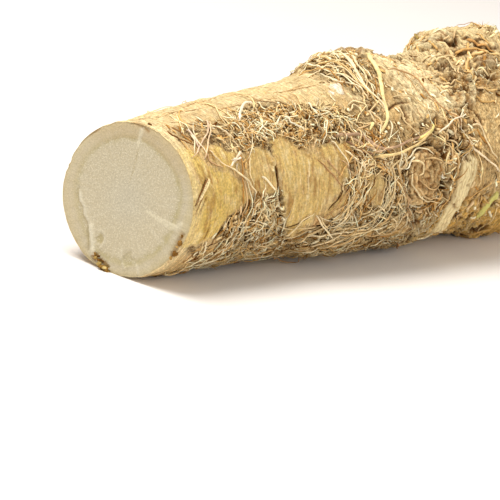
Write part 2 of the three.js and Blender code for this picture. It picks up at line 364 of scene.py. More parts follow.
front = step(DEGS, -42, -28) * (1 - step(DEGS, 146, 158))  # the side with the drawn features
drawn = front * (1 - step(W, 140, 152))

# smooth plates: the drawn ones, and others by noise on the sides out of sight
plate = np.zeros(W.shape)
plate_edge = np.zeros(W.shape)
yellow = np.zeros(W.shape)
wob = 0.9 * gnoise(P0 / 2.6, 5) + 0.5 * gnoise(P0 / 1.1, 6)
for name, (pts, yel) in PLATES.items():
    sd = polygon_signed(W, S, pts) + wob * 1.0 + 0.9 * gnoise(np.stack([W / 1.6, S / 0.9, 0 * W], -1), 59)
    m = step(sd, -0.9, 1.3) * (0.9 if name == "bump" else 1.0)
    plate = np.maximum(plate, m)
    yellow = np.maximum(yellow, m * yel)
    plate_edge = np.maximum(plate_edge, np.exp(-((sd - 0.3) / 0.5) ** 2))
other = fbm(around(1 / 17.0, 1.9, 4.0, 3), 2, 21) + 0.16 - 0.7 * step(W, 84, 112)
om = step(other, 0.08, 0.24) * (1 - drawn)
oe = np.exp(-((other - 0.12) / 0.05) ** 2) * (1 - drawn)
plate = np.maximum(plate, om * 0.95)
plate_edge = np.maximum(plate_edge, oe * 0.6)
yellow = np.maximum(yellow, om * np.clip(0.3 + 0.9 * fbm(P0 / 30, 2, 31) + 0.5 * (1 - W / 45), 0, 1))
near_cut = 1 - step(W, 1.5, 4.5)
top_bark = step(DEGS, -75, -35) * (1 - step(DEGS, 8, 24)) * (1 - step(W, 74, 86))
crust = step(W, 86, 104)
crust = np.maximum(crust, step(W, 74, 82) * step(-DEGS, 20, 40) * 0.6)

# the pale band of an old leaf base, and a green streak; more such bands on the crown's other sides
RIDGES += [([(112, -52), (118, -70), (121, -92), (119, -112)], 1.8, 1.0, "straw"),
           ([(133, -66), (139, -88), (141, -108)], 1.6, 0.9, "straw"),
           ([(103, -128), (108, -148), (107, -172)], 1.7, 0.9, "straw"),
           ([(131, -132), (137, -150), (138, -174)], 1.7, 1.0, "straw"),
           ([(112, 172), (118, 156), (117, 138)], 1.6, 0.8, "straw"),
           ([(150, -120), (153, -150), (150, -175)], 1.5, 0.8, "pale"),
           ([(124, -128), (120, -118), (113, -122)], 1.2, 0.9, "pale")]

straw = np.zeros(W.shape)
green = np.zeros(W.shape)
straw_d = np.zeros(W.shape)
for pts, wd, ht, key in RIDGES:
    if key in ("straw", "green"):
        d, u = polyline_distance(W, S, pts)
        k = step(-(d + 0.3 * gnoise(P0 / 2.0, 57)), -wd * 1.12, -wd * 0.7) * step(-np.abs(u - 0.5), -0.5, -0.44)
        if key == "straw":
            straw, straw_d = np.maximum(straw, k), np.where(k > 0.01, d, straw_d)
        else:
            green = np.maximum(green, k)
bands = np.maximum(straw, green)

# rootlets: the drawn patches, and others by noise on the sides out of sight
tufts = np.zeros(W.shape)
for pts, dens in HAIRY:
    sd = polygon_signed(W, S, pts) + 1.6 * gnoise(P0 / 3.5, 55)
    tufts = np.maximum(tufts, dens * step(sd, -1.8, 1.2))
rear_n = fbm(around(1 / 10.0, 2.6, 3.0, 9), 2, 61)
rear = (0.10 + 1.0 * step(rear_n, -0.05, 0.4)) * (1 - 0.65 * crust) * (1 - 0.8 * top_bark)
hair = drawn * np.maximum(tufts, 0.05) + (1 - drawn) * rear
hair *= 1 - plate * 0.98
hair *= 1 - 0.6 * near_cut
hair *= 1 - 0.95 * bands
hair *= 1 - 0.55 * step(W, 98, 110)
hair *= 1 - 0.75 * step(W, 86, 104) * step(-np.abs(W - 106), -18, -9) * step(-np.abs(DEGS - 22), -34, -20)
# below, strips of bare skin show between the bundles
strips = gnoise(np.stack([W / 6.5, C3 * 4.5, S3 * 4.5], -1) + 0.5 * gnoise(P0 / 3.0, 63)[..., None], 64)
hair *= 1 - 0.75 * step(strips, 0.0, 0.22) * step(DEGS, 98, 112) * step(W, 30, 42) * (1 - step(W, 100, 108))
hairy = np.clip(hair, 0, 1)

# holes among the rootlets, and clefts in the crown's crust; further down both are darkened with painted shade
hole_n = gnoise(np.stack([W / 2.3, C3 * 9, S3 * 9], -1) + 0.4 * gnoise(P0 / 2.0, 65)[..., None], 67)
low_side = step(DEGS, 96, 112) * (1 - step(W, 100, 108))
holes = step(hole_n + 0.10 * low_side, -0.02, 0.16)
turn = np.array([[0.56, 0.66, 0.50], [-0.79, 0.60, 0.10], [-0.24, -0.45, 0.86]])
tilted = P0 @ turn.T
cleft_n = gnoise(tilted / np.array([5.5, 2.3, 2.3]) + 0.55 * gnoise(P0 / 2.4, 69)[..., None], 71)
clefts = step(cleft_n, 0.14, 0.30)


def blur(a, mm):
    """soft mean over about the given distance on each side"""
    n = max(1, round(mm / ROW_MM))
    k = np.exp(-np.linspace(-2, 2, 2 * n + 1) ** 2)
    k /= k.sum()
    pad = np.concatenate([a[:1].repeat(n, 0), a, a[-1:].repeat(n, 0)], 0)
    a = sum(k[i] * pad[i:i + NR] for i in range(2 * n + 1))
    n = max(1, round(mm / COL_MM))
    k = np.exp(-np.linspace(-2, 2, 2 * n + 1) ** 2)
    k /= k.sum()
    return sum(k[i] * np.roll(a, i - n, 1) for i in range(2 * n + 1))


# height in mm
h = 0.30 * fbm(P0 / 5.0, 2, 75) * step(W, 0.5, 4) * (1 - 0.5 * plate)
fold = fbm(around(1 / 4.2, 1.5, 2.2, 1), 2, 81)
h += 0.24 * fold * (0.35 + 0.65 * (1 - plate)) * step(W, 0.5, 3)
stri = ridged(around(1 / 1.5, 2.4, 1.2, 2), 2, 91)
h += (0.05 * plate + 0.15 * (1 - plate)) * stri * (1 - 0.4 * near_cut)
rough = ridged(np.stack([W / 1.9, C3 * 10, S3 * 10], -1) + 0.7 * gnoise(P0 / 4.0, 14)[..., None], 3, 101)
h += rough * (0.20 * (1 - plate) + 0.70 * hairy) * (1 - 0.1 * top_bark) * step(W, 0.0, 2.0)
soft_plate = blur(plate, 2.6)
h += 0.45 * soft_plate + 0.08 * plate_edge - 0.50 * blur(hairy, 2.2)
peel = ridged(around(1 / 6.5, 2.6, 3.5, 7), 2, 131)  # lifted edges of bark
h += 0.6 * np.maximum(peel - 0.4, 0) * (1 - plate)
scales = ridged(around(1 / 3.0, 3.2, 2.5, 17), 2, 137)
h += 0.35 * np.maximum(scales - 0.4, 0) * top_bark

# the crown: crumbly crust, pits and ridges
gran = crust * step(-np.abs(DEGS - 68), -34, -24) * step(W + 0.12 * (DEGS - 50), 120, 126)
patch = gnoise(np.stack([W / 19, C3 * 1.5, S3 * 1.5], -1) + 0.15 * gnoise(P0 / 6.0, 145)[..., None], 147)
gran *= 1 - 0.85 * step(W + 5 * gnoise(P0 / 9.0, 149), 148, 158)
gran = np.maximum(gran, 0.9 * step(patch, 0.10, 0.22) * crust * (1 - drawn))
knob = step(W, 116, 126) * step(-np.abs(DEGS + 22), -50, -28)
neck = crust * step(-np.abs(W - 106), -18, -9) * step(-np.abs(DEGS - 22), -34, -20)
calm = (1 - 0.85 * gran) * (1 - 0.9 * bands)
warp = 0.6 * gnoise(P0 / 6.0, 15)[..., None]
cr1 = fbm(P0 / 7.0, 3, 141)
cr2 = ridged(tilted / np.array([8.5, 3.0, 3.0]) + 0.8 * warp, 3, 151)
cr3 = ridged(tilted / np.array([4.0, 1.5, 1.5]) + warp, 2, 161)
cr4 = gnoise(P0 / 0.85, 163)
h -= 0.45 * crust
h += crust * (1.0 * cr1 * (1 - 0.6 * gran) + (0.75 * cr2 + 0.50 * cr3 + 0.15 * cr4) * calm * (1 - 0.6 * neck))
# thin torn layers of old leaf bases, round the crown
torn = ridged(around(1 / 3.0, 5.0, 2.6, 19), 2, 143)
h += 0.9 * np.maximum(torn - 0.2, 0) * crust * calm * (1 - 0.7 * neck)
h += knob * (0.3 * ridged(tilted / np.array([5.0, 1.8, 1.8]), 3, 171) + 0.15 * cr4)
# the neck's fibres run slantwise over it
slant, over = (W + S) / 1.414, (W - S) / 1.414
slanted = ridged(np.stack([over / 1.3, slant / 9.0, 0 * W], -1) + 0.5 * gnoise(P0 / 5.0, 18)[..., None], 3, 175)
h += 0.30 * slanted * neck

# painted shade for the cracks, pits and knot grooves cut below is gathered in this mask
recess_shade = np.zeros(W.shape)
pale = np.zeros(W.shape)
amber = np.zeros(W.shape)
grey = np.zeros(W.shape)
bud = np.zeros(W.shape)
chalk = np.zeros(W.shape)
wig = 0.35 * gnoise(P0 / 1.7, 181)
for pts, wd, dp in CRACKS:
    d, u = polyline_distance(W, S, pts)
    k = np.exp(-((d + wig * 0.5) / wd) ** 2) * np.clip(np.sin(np.pi * (0.08 + 0.84 * u)) * 1.6, 0, 1)
    h -= dp * 0.8 * k
    recess_shade = np.maximum(recess_shade, k * min(1.0, 0.25 + 0.55 * dp))
for pts, wd, ht, key in RIDGES:
    d, u = polyline_distance(W, S, pts)
    k = step(-(d + wig), -wd * 1.15, -wd * 0.45) * step(-np.abs(u - 0.5), -0.5, -0.42)
    h += ht * k
    if key == "straw":
        h += k * 0.13 * np.cos(d * 5.0 + 1.2 * gnoise(P0 / 5, 3))
        plate = np.maximum(plate, k)
    elif key == "green":
        plate = np.maximum(plate, k)
    elif key == "amber":
        amber = np.maximum(amber, k * (0.35 + 0.65 * (1 - u)))
    elif key in ("grey", "bark"):
        grey = np.maximum(grey, k)
    elif key == "chalk":
        chalk = np.maximum(chalk, k)
    elif key == "bud":
        bud = np.maximum(bud, k)
    else:
        pale = np.maximum(pale, k)
pit_rag = 0.35 * ridged(P0 / 1.6, 2, 183)
for w0, a0, rw, rr, dp in PITS:
    d = np.hypot((W - w0) / rw, (S - a0 * DEG) / rr) + wig * 1.1 + pit_rag
    k = np.exp(-(np.maximum(d, 0) * 0.95) ** 2)
    h -= 1.3 * dp * k
    h += 0.25 * dp * np.exp(-((d - 1.6) / 0.5) ** 2)
    recess_shade = np.maximum(recess_shade, k * (0.95 + 0.3 * cr4))
# more pits on the crown's other sides
pits = gnoise(P0 / 5.2, 191)
pk = step(pits + 0.25 * cr3, 0.45, 0.7) * crust * (1 - 0.9 * gran) * (1 - 0.8 * neck)
h -= 1.0 * pk
recess_shade = np.maximum(recess_shade, pk * (0.5 + 0.4 * cr4))

# scars of cut side roots: a ringed knot each
KNOTS = [(97.1, 84.6, 7.0, 7.6, 1.25), (122, -100, 9, 8, 0.6), (46, -135, 4.5, 6.0, 0.35), (72, -70, 5, 6, 0.3),
         (88, 178, 5.5, 7, 0.35), (128, 150, 6, 7, 0.45)]
knots = np.zeros(W.shape)
for w0, a0, rw, rr, k0 in KNOTS:
    ds = ((DEGS - a0 + 180) % 360 - 180) * DEG
    own = min(1.0, k0 * k0)
    d = np.hypot((W - w0) / rw, ds / rr) + (0.14 + 0.12 * (1 - own)) * gnoise(P0 / 3.0, 201)
    ins = 1 - step(d, 0.95, 1.1)
    h += k0 * ins * (0.32 * np.cos(d * 3 * 2 * np.pi) * (0.4 + 0.6 * d) - 0.2 * (1 - d) + 0.7)
    h -= k0 * 0.9 * np.exp(-((d - 1.12) / 0.12) ** 2)
    recess_shade = np.maximum(recess_shade, (0.35 + 0.35 * own) * np.exp(-((d - 1.12) / 0.10) ** 2) * step(gnoise(P0 / 3.5, 205), -0.3, 0.4))
    recess_shade = np.maximum(recess_shade, 0.34 * own * ins * step(-np.cos(d * 3 * 2 * np.pi), 0.25, 0.9))
    hair *= 1 - (0.45 + 0.5 * own) * ins
    knots = np.maximum(knots, ins * (0.35 + 0.65 * own))
hairy = np.clip(hair, 0, 1)
clefts = clefts * crust * (1 - 0.8 * gran) * (1 - bands) * (1 - 0.8 * neck) * (1 - 0.7 * knots) * (1 - 0.65 * knob)
h -= 0.7 * holes * hairy * (1 - bands) + 0.8 * clefts

h *= step(W, -1.5, 1.2) * 0.85 + 0.15
h *= 1 - step(W, 203, 210.6) * 0.6


h -= 0.85 * blur(h, 15)       # the relief leaves the outline where it is
relief_light_and_shade = h - blur(h, 1.6)          # small relief: ridges over 0, grooves under
cav_wide = h - blur(h, 5)
P1 = P0 + N0 * h[..., None]

# ------------------------------------------------------------ colours, linear


def srgb(r, g, b):
    c = np.array([r, g, b], float) / 255
    return np.where(c <= 0.04045, c / 12.92, ((c + 0.055) / 1.055) ** 2.4)


def mix(a, b, k):
    return a * (1 - k[..., None]) + b * k[..., None]


COL_BASE = srgb(218, 184, 126)
COL_LIGHT = srgb(249, 229, 180)
COL_BROWN = srgb(158, 110, 54)
COL_DARK = srgb(68, 38, 8)
COL_YELLOW = srgb(226, 194, 108)
COL_PLATE = srgb(216, 184, 120)
COL_GREY = srgb(176, 156, 132)
COL_RUST = srgb(204, 136, 66)
COL_STRAW = srgb(251, 234, 184)
COL_GREEN = srgb(216, 212, 126)
COL_AMBER = srgb(222, 168, 62)
COL_BUD = srgb(182, 144, 104)

c = np.broadcast_to(COL_BASE, P0.shape).copy()
c = mix(c, COL_LIGHT, np.clip(0.40 + 0.9 * fbm(around(1 / 6.0, 2.0, 2, 5), 3, 211), 0, 1) * 0.6)
c = mix(c, COL_BROWN, np.clip(0.05 + 0.9 * fbm(around(1 / 8.0, 2.5, 2, 6), 3, 221), 0, 1) * 0.6 * (1 - plate) * (1 - 0.7 * top_bark))
c = mix(c, COL_GREY, np.clip(gnoise(P0 / 9, 231) - 0.25, 0, 1) * 0.5 * (1 - plate))
c = mix(c, COL_RUST, np.clip(1.6 * gnoise(P0 / 4.5, 241) - 0.35, 0, 1) * (0.35 + 0.45 * crust) * (1 - plate))
c = mix(c, COL_PLATE, plate * 0.8)
c = mix(c, COL_YELLOW, np.clip(yellow * (0.85 + 0.6 * fbm(P0 / 8, 2, 251)), 0, 1))
blot = fbm(np.stack([W / 2.6, C3 * 5, S3 * 5], -1), 3, 261)
c = mix(c, COL_LIGHT, step(blot, 0.05, 0.6) * plate * 0.5)
c = mix(c, srgb(186, 140, 84), step(-blot, 0.15, 0.7) * plate * 0.4)
c = mix(c, srgb(164, 110, 66), step(fbm(around(1 / 0.9, 3.2, 0.8, 9), 2, 271), 0.22, 0.5) * plate * 0.6)
c = mix(c, srgb(250, 230, 176), step(fbm(around(1 / 0.9, 3.2, 0.8, 8), 2, 273), 0.28, 0.6) * plate * 0.5)
c = mix(c, srgb(150, 98, 44), step(fbm(around(1 / 2.2, 2.4, 1.6, 10), 3, 279), 0.22, 0.5) * plate * 0.5)
c = mix(c, srgb(248, 222, 168), top_bark * (0.60 + 0.5 * fbm(around(1 / 2.2, 2.0, 1.5, 12), 2, 275)))
tb = fbm(np.stack([W / 5.0, C3 * 16, S3 * 16], -1) + 0.5 * gnoise(P0 / 4.0, 26)[..., None], 3, 277)
c = mix(c, srgb(150, 100, 50), top_bark * step(tb, 0.2, 0.5) * 0.25)
c = mix(c, srgb(252, 234, 188), top_bark * step(-tb, 0.12, 0.4) * 0.6)
c = mix(c, srgb(253, 230, 174), crust * 0.34)
c = mix(c, srgb(146, 96, 44), step(gnoise(tilted / np.array([7.0, 4.0, 4.0]), 283), -0.12, 0.22) * crust * (1 - gran) * (1 - neck) * (1 - knob) * 0.8)
c = mix(c, srgb(255, 234, 180), gran * 0.95)
c = mix(c, srgb(210, 158, 82), crust * step(-DEGS, -130, -105) * step(DEGS, -14, 10) * 0.5)
c = mix(c, srgb(255, 232, 176), knob * 0.8)
# the crown's underside painted lighter and more golden: painted light standing in for light bounced up from the floor
c = mix(c, srgb(255, 204, 104), step(W, 104, 116) * step(DEGS, 100, 116) * (1 - step(DEGS, 150, 178)) * 0.85)
c = mix(c, COL_RUST, knob * np.clip(0.15 + gnoise(P0 / 5, 281), 0, 1) * 0.5)
c = mix(c, srgb(254, 234, 184), neck * np.clip(0.80 + 0.30 * slanted, 0, 1))
c = mix(c, srgb(190, 140, 86), neck * step(-slanted, 0.1, 0.6) * 0.4)
c = mix(c, COL_LIGHT, np.clip(pale, 0, 1) * 0.85)
c = mix(c, COL_AMBER, np.clip(amber, 0, 1) * 0.85)
c = mix(c, srgb(150, 124, 104), np.clip(grey, 0, 1) * 0.7)
c = mix(c, COL_BUD, np.clip(bud, 0, 1) * 0.8)
# between the rootlets: browner skin, partly soil and partly painted shade, then painted shade in the spaces between
# them, in the holes and in the clefts
rootlet_gap_shade = step(ridged(np.stack([W / 1.5, C3 * 12, S3 * 12], -1) + 0.8 * gnoise(P0 / 3.0, 24)[..., None], 2, 291), 0.35, -0.20)
c = mix(c, srgb(116, 72, 22), hairy * 0.75)
c = mix(c, COL_DARK, hairy * rootlet_gap_shade * 0.9)
c = mix(c, srgb(54, 28, 4), holes * np.clip(hairy * 1.3, 0, 1) * 0.9)
c = mix(c, srgb(66, 36, 6), clefts * 0.9)
c = mix(c, COL_STRAW, straw * 0.92)
c = mix(c, srgb(196, 162, 104), straw * step(-np.cos(straw_d * 5.0 + 1.2 * gnoise(P0 / 5, 3)), 0.2, 0.9) * 0.6)
c = mix(c, COL_GREEN, green * 0.92)
# painted highlight on the small ridges
c = mix(c, COL_LIGHT, step(relief_light_and_shade, 0.06, 0.34) * 0.65 * (1 - 0.35 * crust))
c = mix(c, srgb(254, 244, 222), chalk * 0.9)
groove_shade_share = 1 - 0.75 * np.maximum(bands, chalk)
c = mix(c, srgb(236, 196, 136), knots * 0.65)
# painted shade in the small grooves, weaker on the pale bands and chalk
c = mix(c, COL_BROWN, step(-relief_light_and_shade, 0.06, 0.30) * 0.7 * (1 - 0.5 * plate) * groove_shade_share)
c = mix(c, COL_DARK, step(-relief_light_and_shade, 0.22, 0.55) * 0.9 * groove_shade_share)
# painted shade in the cracks, pits and knot grooves
c = mix(c, srgb(150, 98, 46), step(recess_shade, 0.08, 0.45) * 0.55)
c = mix(c, COL_DARK, step(recess_shade, 0.18, 0.65) * 0.92)
c = mix(c, COL_LIGHT, near_cut * 0.4)
skin_colour = np.clip(c, 0, 1)

# -------------------------------------------------------------- the cut face
rim0 = P1[0]
rim_share = np.diff(th_wrap) / (2 * np.pi)
rc = (rim0 * rim_share[:, None]).sum(0)
rim_off = (rim0 - rc) @ CUT_NORMAL
P1[0] = rim0 - rim_off[:, None] * CUT_NORMAL  # the rim lies on the cut's plane
rim0 = P1[0]
# row 1 stays behind the plane
FU = np.array([0.0, 0.1, -1.0]); FU -= CUT_NORMAL * (FU @ CUT_NORMAL); FU /= np.linalg.norm(FU)
FU = -FU                                   # towards the viewer's right, seen from outside the cut
FV = np.cross(FU, CUT_NORMAL)
if FV[1] < 0:
    FV = -FV
face_k = 1 - np.concatenate([np.linspace(0, 0.05, 6)[1:], np.linspace(0.05, 0.3, 17)[1:], np.linspace(0.3, 1, 28)[1:-1]])
FR = len(face_k)
FACE = rc + (rim0 - rc)[None] * face_k[:, None, None]
FX = (FACE - rc) @ FU
FY = (FACE - rc) @ FV
F3 = np.stack([FX, FY, 0 * FX], -1)
FW1, FW2 = gnoise(F3 / 2.2, 401), gnoise(F3 / 0.9, 403)


def face_line(pts, wd, wobble=0.35):
    """soft line on the face, in mm from its middle; 1 on the line"""
    best = np.full(FX.shape, 1e9)
    for (x0, y0), (x1, y1) in zip(pts[:-1], pts[1:]):
        dx, dy = x1 - x0, y1 - y0
        u = np.clip(((FX - x0) * dx + (FY - y0) * dy) / (dx * dx + dy * dy), 0, 1)
        best = np.minimum(best, np.hypot(FX - x0 - u * dx, FY - y0 - u * dy))
    return np.exp(-(np.maximum(best + wobble * FW2 * wd, 0) / wd) ** 2)


def face_spot(x, y, r, rag=0.3):
    d = np.hypot(FX - x, FY - y) / r + rag * FW2 + 0.5 * rag * FW1
    return 1 - step(d, 0.75, 1.15)


# the ring under the bark: wider bark to the right and at the top
RING = np.array([(-16.6, -3.9), (-17.2, -1.2), (-17.0, 2.5), (-15.9, 6.7), (-13.6, 10.3), (-10.3, 13.1), (-6.0, 15.7),
                 (-1.3, 17.0), (3.0, 16.6), (7.5, 15.3), (11.0, 13.2), (13.9, 10.6), (15.7, 7.3), (16.2, 3.8), (15.8, 0.1),
                 (15.5, -4.1), (14.1, -7.9), (11.3, -11.8), (8.2, -14.9), (4.6, -16.5), (-0.1, -17.3), (-5.5, -16.4),
                 (-10.0, -13.0), (-14.0, -8.8)])
ring_a = np.arctan2(RING[:, 1], RING[:, 0])
o_ = np.argsort(ring_a)
ring_at = np.interp(np.arctan2(FY, FX).ravel(), ring_a[o_], np.hypot(*RING.T)[o_], period=2 * np.pi).reshape(FX.shape)
FRAD = np.hypot(FX, FY)
FANG = np.arctan2(FY, FX)
from_ring = FRAD - ring_at + 0.35 * FW1      # mm outside the ring
bark = step(from_ring, -0.5, 0.5)
ring_line = np.exp(-((from_ring - 0.2) / 0.95) ** 2) * (0.8 + 0.5 * FW1)
rays = gnoise(np.stack([np.cos(FANG) * 17, np.sin(FANG) * 17, FRAD / 16.0], -1), 405)
fc = mix(np.broadcast_to(srgb(212, 200, 170), FACE.shape).copy(), srgb(213, 201, 172), bark)
fc = mix(fc, srgb(196, 180, 138), np.clip(0.25 + 0.9 * rays, 0, 1) * (0.16 + 0.20 * bark))
fc = mix(fc, srgb(228, 219, 192), np.clip(-rays - 0.1, 0, 1) * 0.35)
fc = mix(fc, srgb(206, 200, 180), (1 - step(FRAD, 0, 12)) * 0.5)
fc = mix(fc, srgb(188, 174, 124), np.clip(ring_line, 0, 1) * 0.7)
fc = mix(fc, srgb(214, 196, 142), step(from_ring, 1.8, 3.6) * 0.35)
left_side = step(-FX, 6, 17) * bark
fc = mix(fc, srgb(218, 202, 166), left_side * 0.5)
top_side = step(FY, 8, 17) * bark
fc = mix(fc, srgb(208, 184, 140), top_side * 0.5)
crk = face_line([(-1.1, 17.6), (-0.9, 14.8), (-0.7, 11.4), (-0.6, 7.9), (-0.9, 4.6)], 0.22)
strk = face_line([(7.5, -0.7), (10.1, -1.1), (12.6, -1.5), (15.3, -1.6), (17.3, -1.3), (18.6, 0.7)], 0.7, 0.6)
strk2 = face_line([(11.7, -0.8), (14.3, -0.5), (17.1, -0.8)], 0.35)
strk3 = face_line([(-1.7, 20.3), (-1.6, 18.0), (-1.3, 15.2)], 0.55)
fold1 = face_line([(-15.9, -3.0), (-15.9, -4.6), (-14.9, -6.3), (-13.1, -7.6), (-12.5, -9.4), (-10.6, -10.8), (-9.5, -12.1)], 0.35, 0.8)
fold2 = face_line([(-15.1, -3.8), (-14.2, -5.8), (-12.3, -7.1), (-11.6, -8.9), (-9.8, -10.2)], 0.45, 0.9)
flap = face_line([(-8.8, -11.4), (-7.7, -13.6), (-6.6, -15.8), (-5.5, -18.4)], 0.75)
flap_edge = face_line([(-9.7, -12.1), (-8.7, -14.8), (-7.5, -17.9)], 0.3)
olive = face_spot(-4.9, -13.4, 1.4, 0.5)
arc_ = np.maximum(face_line([(-4.7, -10.9), (-3.4, -12.1), (-3.1, -14.1), (-4.0, -16.0)], 0.3), face_line([(-5.2, -11.2), (-6.1, -13.0)], 0.3))
hol = face_spot(5.6, -15.6, 2.1, 0.6)
hol_out = np.maximum(face_line([(2.9, -13.6), (3.3, -15.8), (5.1, -18.0)], 0.4), face_line([(7.0, -15.4), (8.9, -15.8), (9.8, -17.5)], 0.35))
crumb = np.maximum(face_spot(-4.5, -18.6, 1.6, 0.5), np.maximum(face_spot(-2.4, -19.6, 1.7, 0.5), face_spot(-0.4, -20.6, 1.7, 0.5)))
rim_brown = face_line([(19.6, -2.2), (19.3, -3.7), (19.2, -5.3), (18.8, -7.2), (18.4, -8.6)], 0.75, 1.0)
rim_brown = np.maximum(rim_brown, 0.7 * face_line([(-5.4, 20.6), (-3.1, 20.7), (-1.0, 20.7), (0.5, 20.2)], 0.5, 0.7))
rim_brown = np.maximum(rim_brown, 0.55 * face_line([(-19.3, 9.9), (-17.3, 12.3), (-14.8, 14.8)], 0.4, 0.6))
fc = mix(fc, srgb(188, 172, 132), crk * 0.5)
fc = mix(fc, srgb(236, 226, 196), np.clip(strk + strk2 + strk3, 0, 1) * 0.7)
# dark lines beside the raised fold and along the flap's edge: painted shade
fc = mix(fc, srgb(184, 166, 122), np.clip(fold1 * 0.7 + flap_edge * 0.7, 0, 1) * 0.7)
fc = mix(fc, srgb(238, 230, 204), np.clip(fold2 + 1.3 * flap, 0, 1) * 0.85)
fc = mix(fc, srgb(188, 172, 118), olive * 0.6)
fc = mix(fc, srgb(234, 225, 198), np.clip(arc_ + hol_out, 0, 1) * 0.6)
fc = mix(fc, srgb(196, 184, 140), hol * 0.45)
fc = mix(fc, srgb(150, 108, 48), crumb * step(FW2, -0.5, 0.1) * 0.9)
fc = mix(fc, srgb(222, 196, 130), crumb * step(FW2, 0.1, 0.5) * 0.8)
fc = mix(fc, srgb(160, 116, 58), np.clip(rim_brown * (0.6 + 0.9 * step(FW2, -0.3, 0.2)), 0, 1) * 0.8)
# the knife leaves the very rim a little worn, and its skin shows
edge = np.exp(-((1 - face_k[:, None]) / 0.018) ** 2) * (0.6 + 0.7 * FW1)
fc = mix(fc, srgb(206, 176, 112), np.clip(edge, 0, 1) * 0.6)
# the whole face darkened by a fifth: painted shade, as the face turns away from the top light
face_colour = np.clip(fc * 0.80, 0, 1)

fh = -0.30 * np.exp(-((1 - face_k) / 0.022) ** 2)[:, None] * (0.6 + 0.6 * FW1)
fh = fh + 0.09 * fbm(F3 / 6.0, 2, 301) + 0.03 * FW2 + 0.05 * rays * (0.3 + 0.7 * bark)
fh = fh - 0.10 * np.exp(-(from_ring / 0.6) ** 2) + 0.05 * bark
fh = fh - 0.08 * crk + 0.16 * strk + 0.1 * strk2 - 0.22 * fold1 + 0.22 * fold2 + 0.6 * flap - 0.35 * flap_edge
fh = fh - 0.25 * olive + 0.2 * arc_ - 0.3 * hol + 0.25 * hol_out - 0.5 * crumb * (0.2 + 1.4 * FW2) - 0.4 * rim_brown
FACE = FACE + fh[..., None] * CUT_NORMAL
rimk = np.clip(np.maximum(rim_brown, crumb)[0], 0, 1)   # the same wear just round the rim's edge

# ----------------------------------------------------------- mesh from arrays


def make_mesh(name, verts, faces, smooth=True):
    """faces is an (n, 3) or (n, 4) array, or a list of such arrays"""
    if not isinstance(faces, list):
        faces = [faces]
    me = bpy.data.meshes.new(name)
    loops = np.concatenate([f.ravel() for f in faces]).astype(np.int32)
    sizes = np.concatenate([np.full(len(f), f.shape[1], np.int32) for f in faces])
    starts = np.concatenate([[0], np.cumsum(sizes)[:-1]]).astype(np.int32)
    me.vertices.add(len(verts))
    me.vertices.foreach_set("co", np.ascontiguousarray(verts, np.float32).ravel())
    me.loops.add(len(loops))
    me.loops.foreach_set("vertex_index", loops)
    me.polygons.add(len(sizes))
    me.polygons.foreach_set("loop_start", starts)
    me.polygons.foreach_set("loop_total", sizes)
    me.polygons.foreach_set("use_smooth", np.full(len(sizes), smooth, bool))
    me.update(calc_edges=True)
    me.validate(verbose=False)
    ob = bpy.data.objects.new(name, me)
    bpy.context.scene.collection.objects.link(ob)
    return ob


def put(me, name, kind, values):
    a = me.attributes.new(name, kind, "POINT")
    key = {"FLOAT": "value", "FLOAT_VECTOR": "vector", "FLOAT_COLOR": "color"}[kind]
    if kind == "FLOAT_COLOR":
        values = np.concatenate([values, np.ones((len(values), 1))], 1)
    a.data.foreach_set(key, np.ascontiguousarray(values, np.float32).ravel())


near_rim = (rimk[None] * (1 - step(W, 0.3, 2.2)))
skin_colour = mix(skin_colour, srgb(140, 98, 48), near_rim * 0.8)
st = np.stack([W, C3 * 25.0, S3 * 25.0], -1)
N1 = grid_normals(P1)
jj = np.arange(COLS)
jn = (jj + 1) % COLS


def skin_piece(name, i0, i1):
    """rows i0 to i1 of the skin; the last piece is closed at the tip"""
    tip = i1 == NR - 1

    def flat(a):
        a = a[i0:i1 + 1].reshape((i1 - i0 + 1) * COLS, -1)
        return np.concatenate([a, a[-1:]]) if tip else a
    v = P1[i0:i1 + 1].reshape(-1, 3)
    if tip:
        v = np.concatenate([v, P1[-1].mean(0)[None] + np.array([0.5, 0, 0])])
    i = np.arange(i1 - i0)[:, None]
    faces = [np.stack([i * COLS + jj, i * COLS + jn, (i + 1) * COLS + jn, (i + 1) * COLS + jj], -1).reshape(-1, 4)]
    if tip:
        last = (i1 - i0) * COLS
        faces.append(np.stack([last + jj, last + jn, np.full(COLS, len(v) - 1)], -1))
    ob = make_mesh(name, to_row(v), faces)
    me = ob.data
    put(me, "skin", "FLOAT_COLOR", flat(skin_colour))
    for key, a in (("rough", 1 - plate), ("hairy", hairy), ("crust", crust * (1 - gran) * (1 - 0.88 * neck) * (1 - bands) * (1 - 0.4 * knob)), ("gran", gran), ("lively", 1 - 0.65 * bands)):
        put(me, key, "FLOAT", flat(a)[:, 0])
    put(me, "st", "FLOAT_VECTOR", flat(st))
    nn = flat(N1) @ LAID.T
    if tip:
        nn[-1] = LAID @ np.array([1.0, 0, 0])
    me.normals_split_custom_set_from_vertices(nn.tolist())
    return ob


body = [skin_piece("root_skin_thin_end", 0, 150), skin_piece("root_skin_middle", 150, 294), skin_piece("root_skin_crown", 294, NR - 1)]
face_v = np.concatenate([rim0, FACE.reshape(-1, 3), (rc + fh[-1].mean() * CUT_NORMAL)[None]])
fi = np.arange(FR)[:, None] * COLS
face_q = np.stack([fi + jn, fi + jj, fi + COLS + jj, fi + COLS + jn], -1).reshape(-1, 4)
face_t = np.stack([FR * COLS + jn, FR * COLS + jj, np.full(COLS, len(face_v) - 1)], -1)
cut_face = make_mesh("root_cut_face", to_row(face_v), [face_q, face_t])
put(cut_face.data, "skin", "FLOAT_COLOR", np.concatenate([face_colour[0], face_colour.reshape(-1, 3), face_colour[-1].mean(0)[None]]))
grainy = np.clip(1 - 0.85 * bark, 0, 1)
put(cut_face.data, "grainy", "FLOAT", np.concatenate([grainy[0], grainy.ravel(), [grainy[-1].mean()]]))
